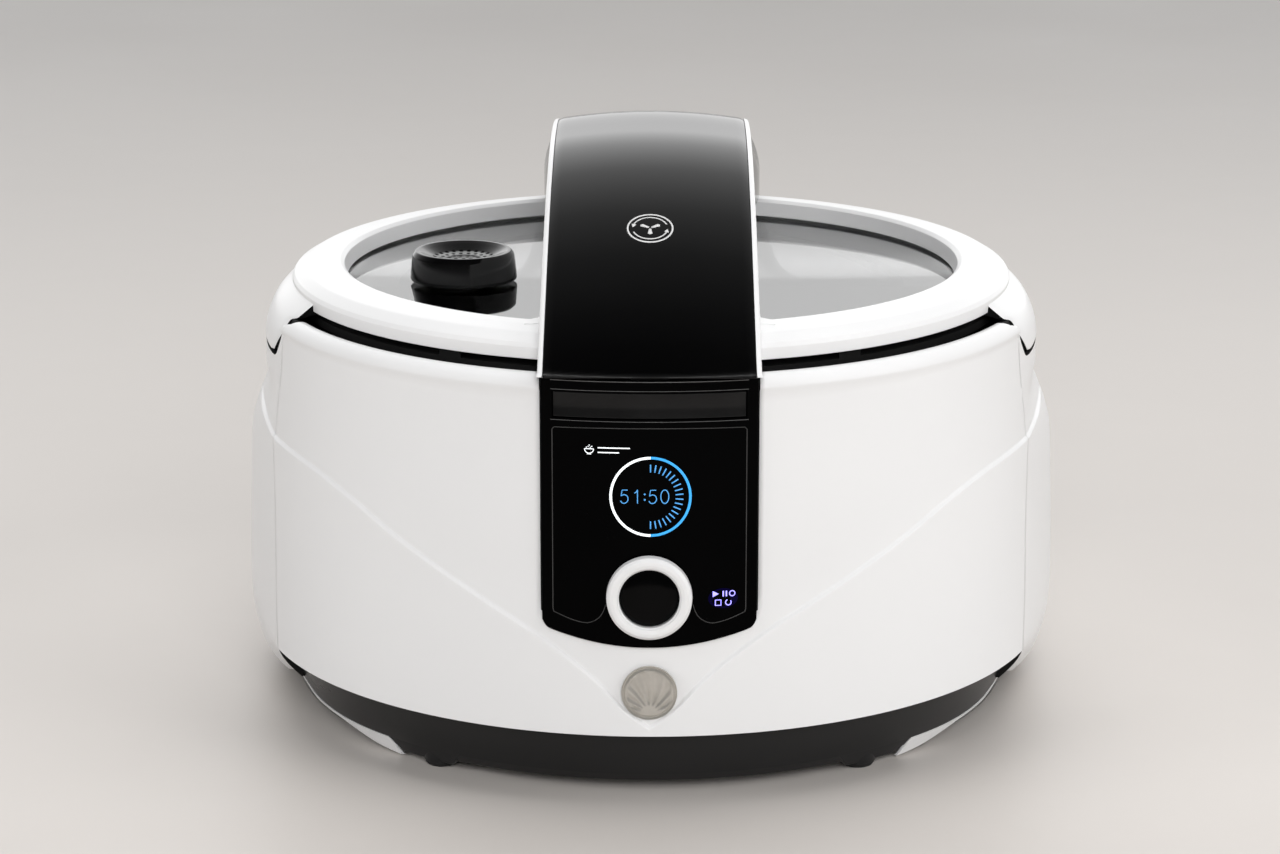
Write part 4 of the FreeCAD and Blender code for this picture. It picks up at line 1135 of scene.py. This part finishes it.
def build_start_icon():
    """Two rows of plain marks, lit from behind: play and pause over stop and repeat."""
    x, z = MARKS_X, MARKS_Z
    tri = [(x - 4.6, z + 0.7), (x - 4.6, z + 3.5), (x - 1.9, z + 2.1)]
    square = [(x - 3.4, z - 3.2), (x - 3.4, z - 0.7), (x - 0.9, z - 0.7), (x - 0.9, z - 3.2)]
    parts = [disc_patch(tri, 0.10), ribbon(square + square[:1] + square[1:2], 0.45, 0.10)]
    for s in (0.0, 1.4):
        parts.append(ribbon([(x + 0.1 + s, z + 0.8), (x + 0.1 + s, z + 3.4)], 0.62, 0.10))
    parts.append(ribbon(arc(x + 4.1, z + 2.1, 1.2, 0, 360, 24), 0.42, 0.10))
    parts.append(ribbon(arc(x + 2.4, z - 2.0, 1.25, 110, 400, 24), 0.42, 0.10))
    glow("start_stop_icon", GLOW_KEY, *parts)
    halo = [(x + 6.6 * math.cos(a), z + 4.6 * math.sin(a)) for a in [2 * math.pi * i / 45 for i in range(45)]]
    patch = make_object("start_stop_lens", *disc_patch(halo, 0.02))
    leaf(patch, 0.02)
    place(patch, "body", GLOW_HALO, "touch_light", "touch_lens")


def build_engraving():
    """The fine raised line round the touch area, with a lobe to each side of the dial. Its grey, lighter than
    the panel, is a painted highlight for the light its edges catch.
    """
    half = 43.0
    right = [(0.0, 175.6), (20.0, 175.5), (half - 1.0, 175.2), (half, 174.2), (half, 150.0),
             (half, 120.0), (half, 92.0)]
    lobe = [(42.6, 90.6), (36.0, 87.9), (30.0, 86.3), (26.0, 86.6), (22.6, 88.6), (20.6, 91.5), (19.4, 95.0)]
    path = dense(right) + through(lobe, 6)
    parts = [ribbon(path, 0.38, 0.05), ribbon([(-x, z) for x, z in path], 0.38, 0.05)]
    obj = make_object("panel_line", *merged(*parts))
    leaf(obj, 0.10)
    place(obj, "body", PANEL_LINE_HIGHLIGHT, "black_gloss")


def build_edge_highlights():
    """Painted highlights: fine light lines above and below the release bar, and along the panel's top, where
    their edges catch the light.
    """
    low, high = (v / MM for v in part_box("release_bar"))
    wide = high.x + 1.0
    rows = [(high.z + 1.3, 0.22), (low.z - 1.3, 0.22), (PANEL_TOP - 0.5, 0.34)]
    parts = []
    for z, width in rows:
        parts.append(ribbon([(wide * (-1 + 2 * i / 60), z) for i in range(61)], width, 0.04))
    obj = make_object("panel_edge_highlights", *merged(*parts))
    leaf(obj, 0.06)
    place(obj, "body", EDGE_HIGHLIGHT, "black_gloss")


build_display()
build_digits()
build_programme_icon()
build_start_icon()
build_engraving()
build_edge_highlights()


# --- dial, start button, badge --------------------------------------------------------------------
def build_dial():
    front = dial_low.y
    ring = fillet([(13.5, 1.5, 0.3), (14.0, 1.1, 0.3), (14.3, 0.35, 0.4), (16.0, 0.0, 1.0), (17.6, 0.15, 1.2),
                   (19.0, 1.6, 1.2), (19.2, 5.3, 0.3), (13.5, 5.3)], 6)
    obj = make_object("dial_ring_skin", *front_lathe(ring, 0.0, front, DIAL_Z, 160))
    place(obj, "dial", WHITE, "white_gloss", "dial_ring")
    button_low, _ = (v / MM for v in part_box("dial_button"))
    face = [(0.01, 0.0), (3.0, 0.05), (6.0, 0.28), (9.0, 0.75), (11.5, 1.45), (12.8, 2.1), (13.15, 2.7)]
    dome = through(face, 5) + [(13.15, 3.4), (0.01, 3.4)]
    obj = make_object("dial_button_skin", *front_lathe(dome, 0.0, button_low.y, DIAL_Z, 128))
    place(obj, "button", BLACK_DOME, "black_gloss", "dial_button")


build_dial()


def build_badge():
    """A domed metal disc with a plain rim and shallow rays that fan from its foot."""
    low, high = (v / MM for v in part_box("badge"))
    centre_z = (low.z + high.z) / 2
    r_out = (high.x - low.x) / 2
    front = -shell_r(centre_z) - 1.0
    rings, spokes = 40, 160
    sections = []
    for j in range(spokes):
        a = 2 * math.pi * j / spokes
        section = []
        for k in range(rings + 1):
            r = r_out * k / rings
            x, z = r * math.cos(a), r * math.sin(a)
            rise = 0.55 - 0.25 * (r / r_out) ** 2
            if r < r_out * 0.86:
                reach = math.hypot(x, z + r_out * 0.75)
                fan = math.atan2(x, z + r_out * 0.75)
                inside = smooth((r_out * 0.86 - r) / 1.2)
                rays = 0.5 + 0.5 * math.cos(fan * 16.0 + 2.0 * reach / r_out)
                rise -= 1.3 * inside * rays * smooth((reach - 3.0) / 3.0)
            else:
                rise -= 1.5 * math.sin(math.pi * (r / r_out - 0.86) / 0.14)
            section.append((x, front + 0.3 - rise * 0.5, centre_z + z))
        section += [(r_out * math.cos(a), front + 1.6, centre_z + r_out * math.sin(a)),
                    (0.0, front + 1.6, centre_z)]
        sections.append(section)
    obj = make_object("badge_disc", *sweep(sections, around=True), sharp=60.0)
    place(obj, "body", NICKEL, "steel", "badge")


build_badge()


# --- steam vent -----------------------------------------------------------------------------------
def build_vent():
    low, high = (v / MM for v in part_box("vent_cap"))
    cx, cy = (low.x + high.x) / 2, (low.y + high.y) / 2
    outline = fillet([(0.01, 215.3), (9.0, 215.4, 6.0), (14.5, 216.0, 4.0), (19.6, 218.8, 4.0),
                      (21.6, 219.8, 1.5),
                      (23.2, 219.8, 1.2), (24.7, 217.6, 1.4), (25.8, 207.4, 0.6), (25.9, 205.9, 0.4),
                      (24.2, 205.7, 0.3),
                      (9.4, 205.7), (9.4, 212.4), (0.01, 212.4)], 5)
    cap = make_object("vent_body", *lathe(outline, 160, (cx, cy)), sharp=40.0)
    holes = []
    for ring_r, count, phase in ((0.0, 1, 0.0), (3.6, 6, 0.0), (7.2, 12, 0.26), (10.8, 18, 0.0),
                                 (14.2, 24, 0.13)):
        for i in range(count):
            a = 2 * math.pi * i / count + phase
            holes.append(lathe([(0.01, 209.0), (1.0, 209.0), (1.0, 219.0), (0.01, 219.0)], 16,
                               (cx + ring_r * math.cos(a), cy + ring_r * math.sin(a))))
    cut(cap, make_object("vent_holes", *merged(*holes)))
    place(cap, "vent", VENT, "black_gloss", "vent_cap")


build_vent()


# --- mark on the arch: a ring with two turning arrows and a three-bladed paddle ---------------------
def on_arch(points, lift=0.05):
    return [(x, y, arch_top(x, y, -lift)) for x, y in points]


def arch_ribbon(points, width):
    left, right = [], []
    n = len(points)
    for i in range(n):
        a, b = Vector(points[max(i - 1, 0)]), Vector(points[min(i + 1, n - 1)])
        d = (b - a).normalized()
        side = Vector((-d.y, d.x)) * width / 2
        left.append(tuple(Vector(points[i]) + side))
        right.append(tuple(Vector(points[i]) - side))
    return on_arch(left) + on_arch(right), [(i, i + 1, n + i + 1, n + i) for i in range(n - 1)]


def build_stir_mark():
    cx, cy, rx, ry = 0.0, STIR_MARK_Y, 10.2, 8.8

    def oval(scale, a0, a1, steps):
        angles = [math.radians(a0 + (a1 - a0) * i / steps) for i in range(steps + 1)]
        return [(cx + rx * scale * math.cos(a), cy + ry * scale * math.sin(a)) for a in angles]

    parts = [arch_ribbon(oval(1.0, 0, 360, 90), 0.8)]
    for start in (20, 200):
        parts.append(arch_ribbon(oval(0.78, start, start + 138, 40), 0.6))
        tip = oval(0.78, start + 138, start + 156, 2)
        d = (Vector(tip[1]) - Vector(tip[0])).normalized()
        side = Vector((-d.y, d.x)) * 1.2
        head = [tuple(Vector(tip[0]) + side), tip[2], tuple(Vector(tip[0]) - side)]
        parts.append((on_arch(head), [(0, 1, 2)]))
    for a in (30, 150, 270):
        blade = [(cx + r * math.cos(math.radians(a + s)), cy + 0.8 * r * math.sin(math.radians(a + s)))
                 for r, s in ((0.8, -40), (4.6, -14), (5.2, 0), (4.6, 14), (0.8, 40))]
        parts.append((on_arch(blade), [tuple(range(5))]))
    obj = make_object("stir_mark", *merged(*parts))
    leaf(obj, 0.04)
    place(obj, "lid", PRINT, "black_gloss")


build_stir_mark()


# --- room, light and camera -----------------------------------------------------------------------
def build_room():
    rows = []
    for i in range(13):
        y = -2600.0 + 7200.0 * i / 12
        rows.append([(x, y, 0.0) for x in (-4500.0, -2000.0, 0.0, 2000.0, 4500.0)])
    room = make_object("floor", *sheet(rows))
    room.data.materials.append(node_material("pale_floor", (0.60, 0.565, 0.535), (0.56, 0.525, 0.495), 0.42,
                                             blotch=3.0,
                                             grain=240.0, relief=0.02, specular=0.30))


def area_light(name, place_at, aim, size, power):
    """A soft lamp that lights the cooker and doesn't show in its glossy faces."""
    data = bpy.data.lights.new(name, "AREA")
    data.shape = "RECTANGLE"
    data.size, data.size_y = size
    data.energy = power
    lamp = bpy.data.objects.new(name, data)
    lamp.visible_glossy = False
    bpy.context.scene.collection.objects.link(lamp)
    lamp.location = place_at
    lamp.rotation_euler = (Vector(aim) - Vector(place_at)).to_track_quat("-Z", "Y").to_euler()
    return lamp


build_room()
world = bpy.data.worlds.new("studio")
world.use_nodes = True
sky = world.node_tree
direction = sky.nodes.new("ShaderNodeTexCoord")
split = sky.nodes.new("ShaderNodeSeparateXYZ")
sky.links.new(direction.outputs["Generated"], split.inputs["Vector"])
depth = sky.nodes.new("ShaderNodeMapRange")
depth.inputs["From Min"].default_value = -1.0
sky.links.new(split.outputs["Y"], depth.inputs["Value"])
glow_ramp = sky.nodes.new("ShaderNodeValToRGB")
glow_ramp.color_ramp.elements[0].color = (0.03, 0.03, 0.03, 1.0)
glow_ramp.color_ramp.elements[1].color = (0.45, 0.45, 0.45, 1.0)
for stop, level in ((0.35, 0.004), (0.42, 0.010), (0.50, 0.026), (0.64, 0.075), (0.75, 0.16), (0.865, 0.34),
                    (0.933, 0.62), (0.965, 0.86), (0.985, 0.62)):
    element = glow_ramp.color_ramp.elements.new(stop)
    element.color = (level, level, level, 1.0)
sky.links.new(depth.outputs["Result"], glow_ramp.inputs["Fac"])
sky.links.new(glow_ramp.outputs["Color"], sky.nodes["Background"].inputs["Color"])
sky.nodes["Background"].inputs["Strength"].default_value = 2.4
bpy.context.scene.world = world
for name, place_at, aim_z, size, power in (("overhead", (0.2, 0.3, 2.1), 0.10, (2.4, 1.8), 24.0),
                                           ("right_bank", (2.0, -0.9, 1.1), 0.12, (1.4, 1.6), 26.0),
                                           ("left_bank", (-2.0, -0.9, 1.0), 0.12, (1.2, 1.4), 20.5),
                                           ("front_fill", (0.3, -2.6, 1.3), 0.10, (1.6, 1.0), 39.0)):
    area_light(name, place_at, (0.0, 0.0, aim_z), size, power)

camera_data = bpy.data.cameras.new("camera")
camera_data.lens = 93.5
camera_data.sensor_width = 36.0
camera = bpy.data.objects.new("camera", camera_data)
bpy.context.scene.collection.objects.link(camera)
camera.location = (0.005, -1.6, 0.5541)
camera.rotation_euler = (math.radians(75.0), 0.0, math.radians(0.372))
bpy.context.scene.camera = camera
bpy.context.scene.view_settings.view_transform = "Standard"
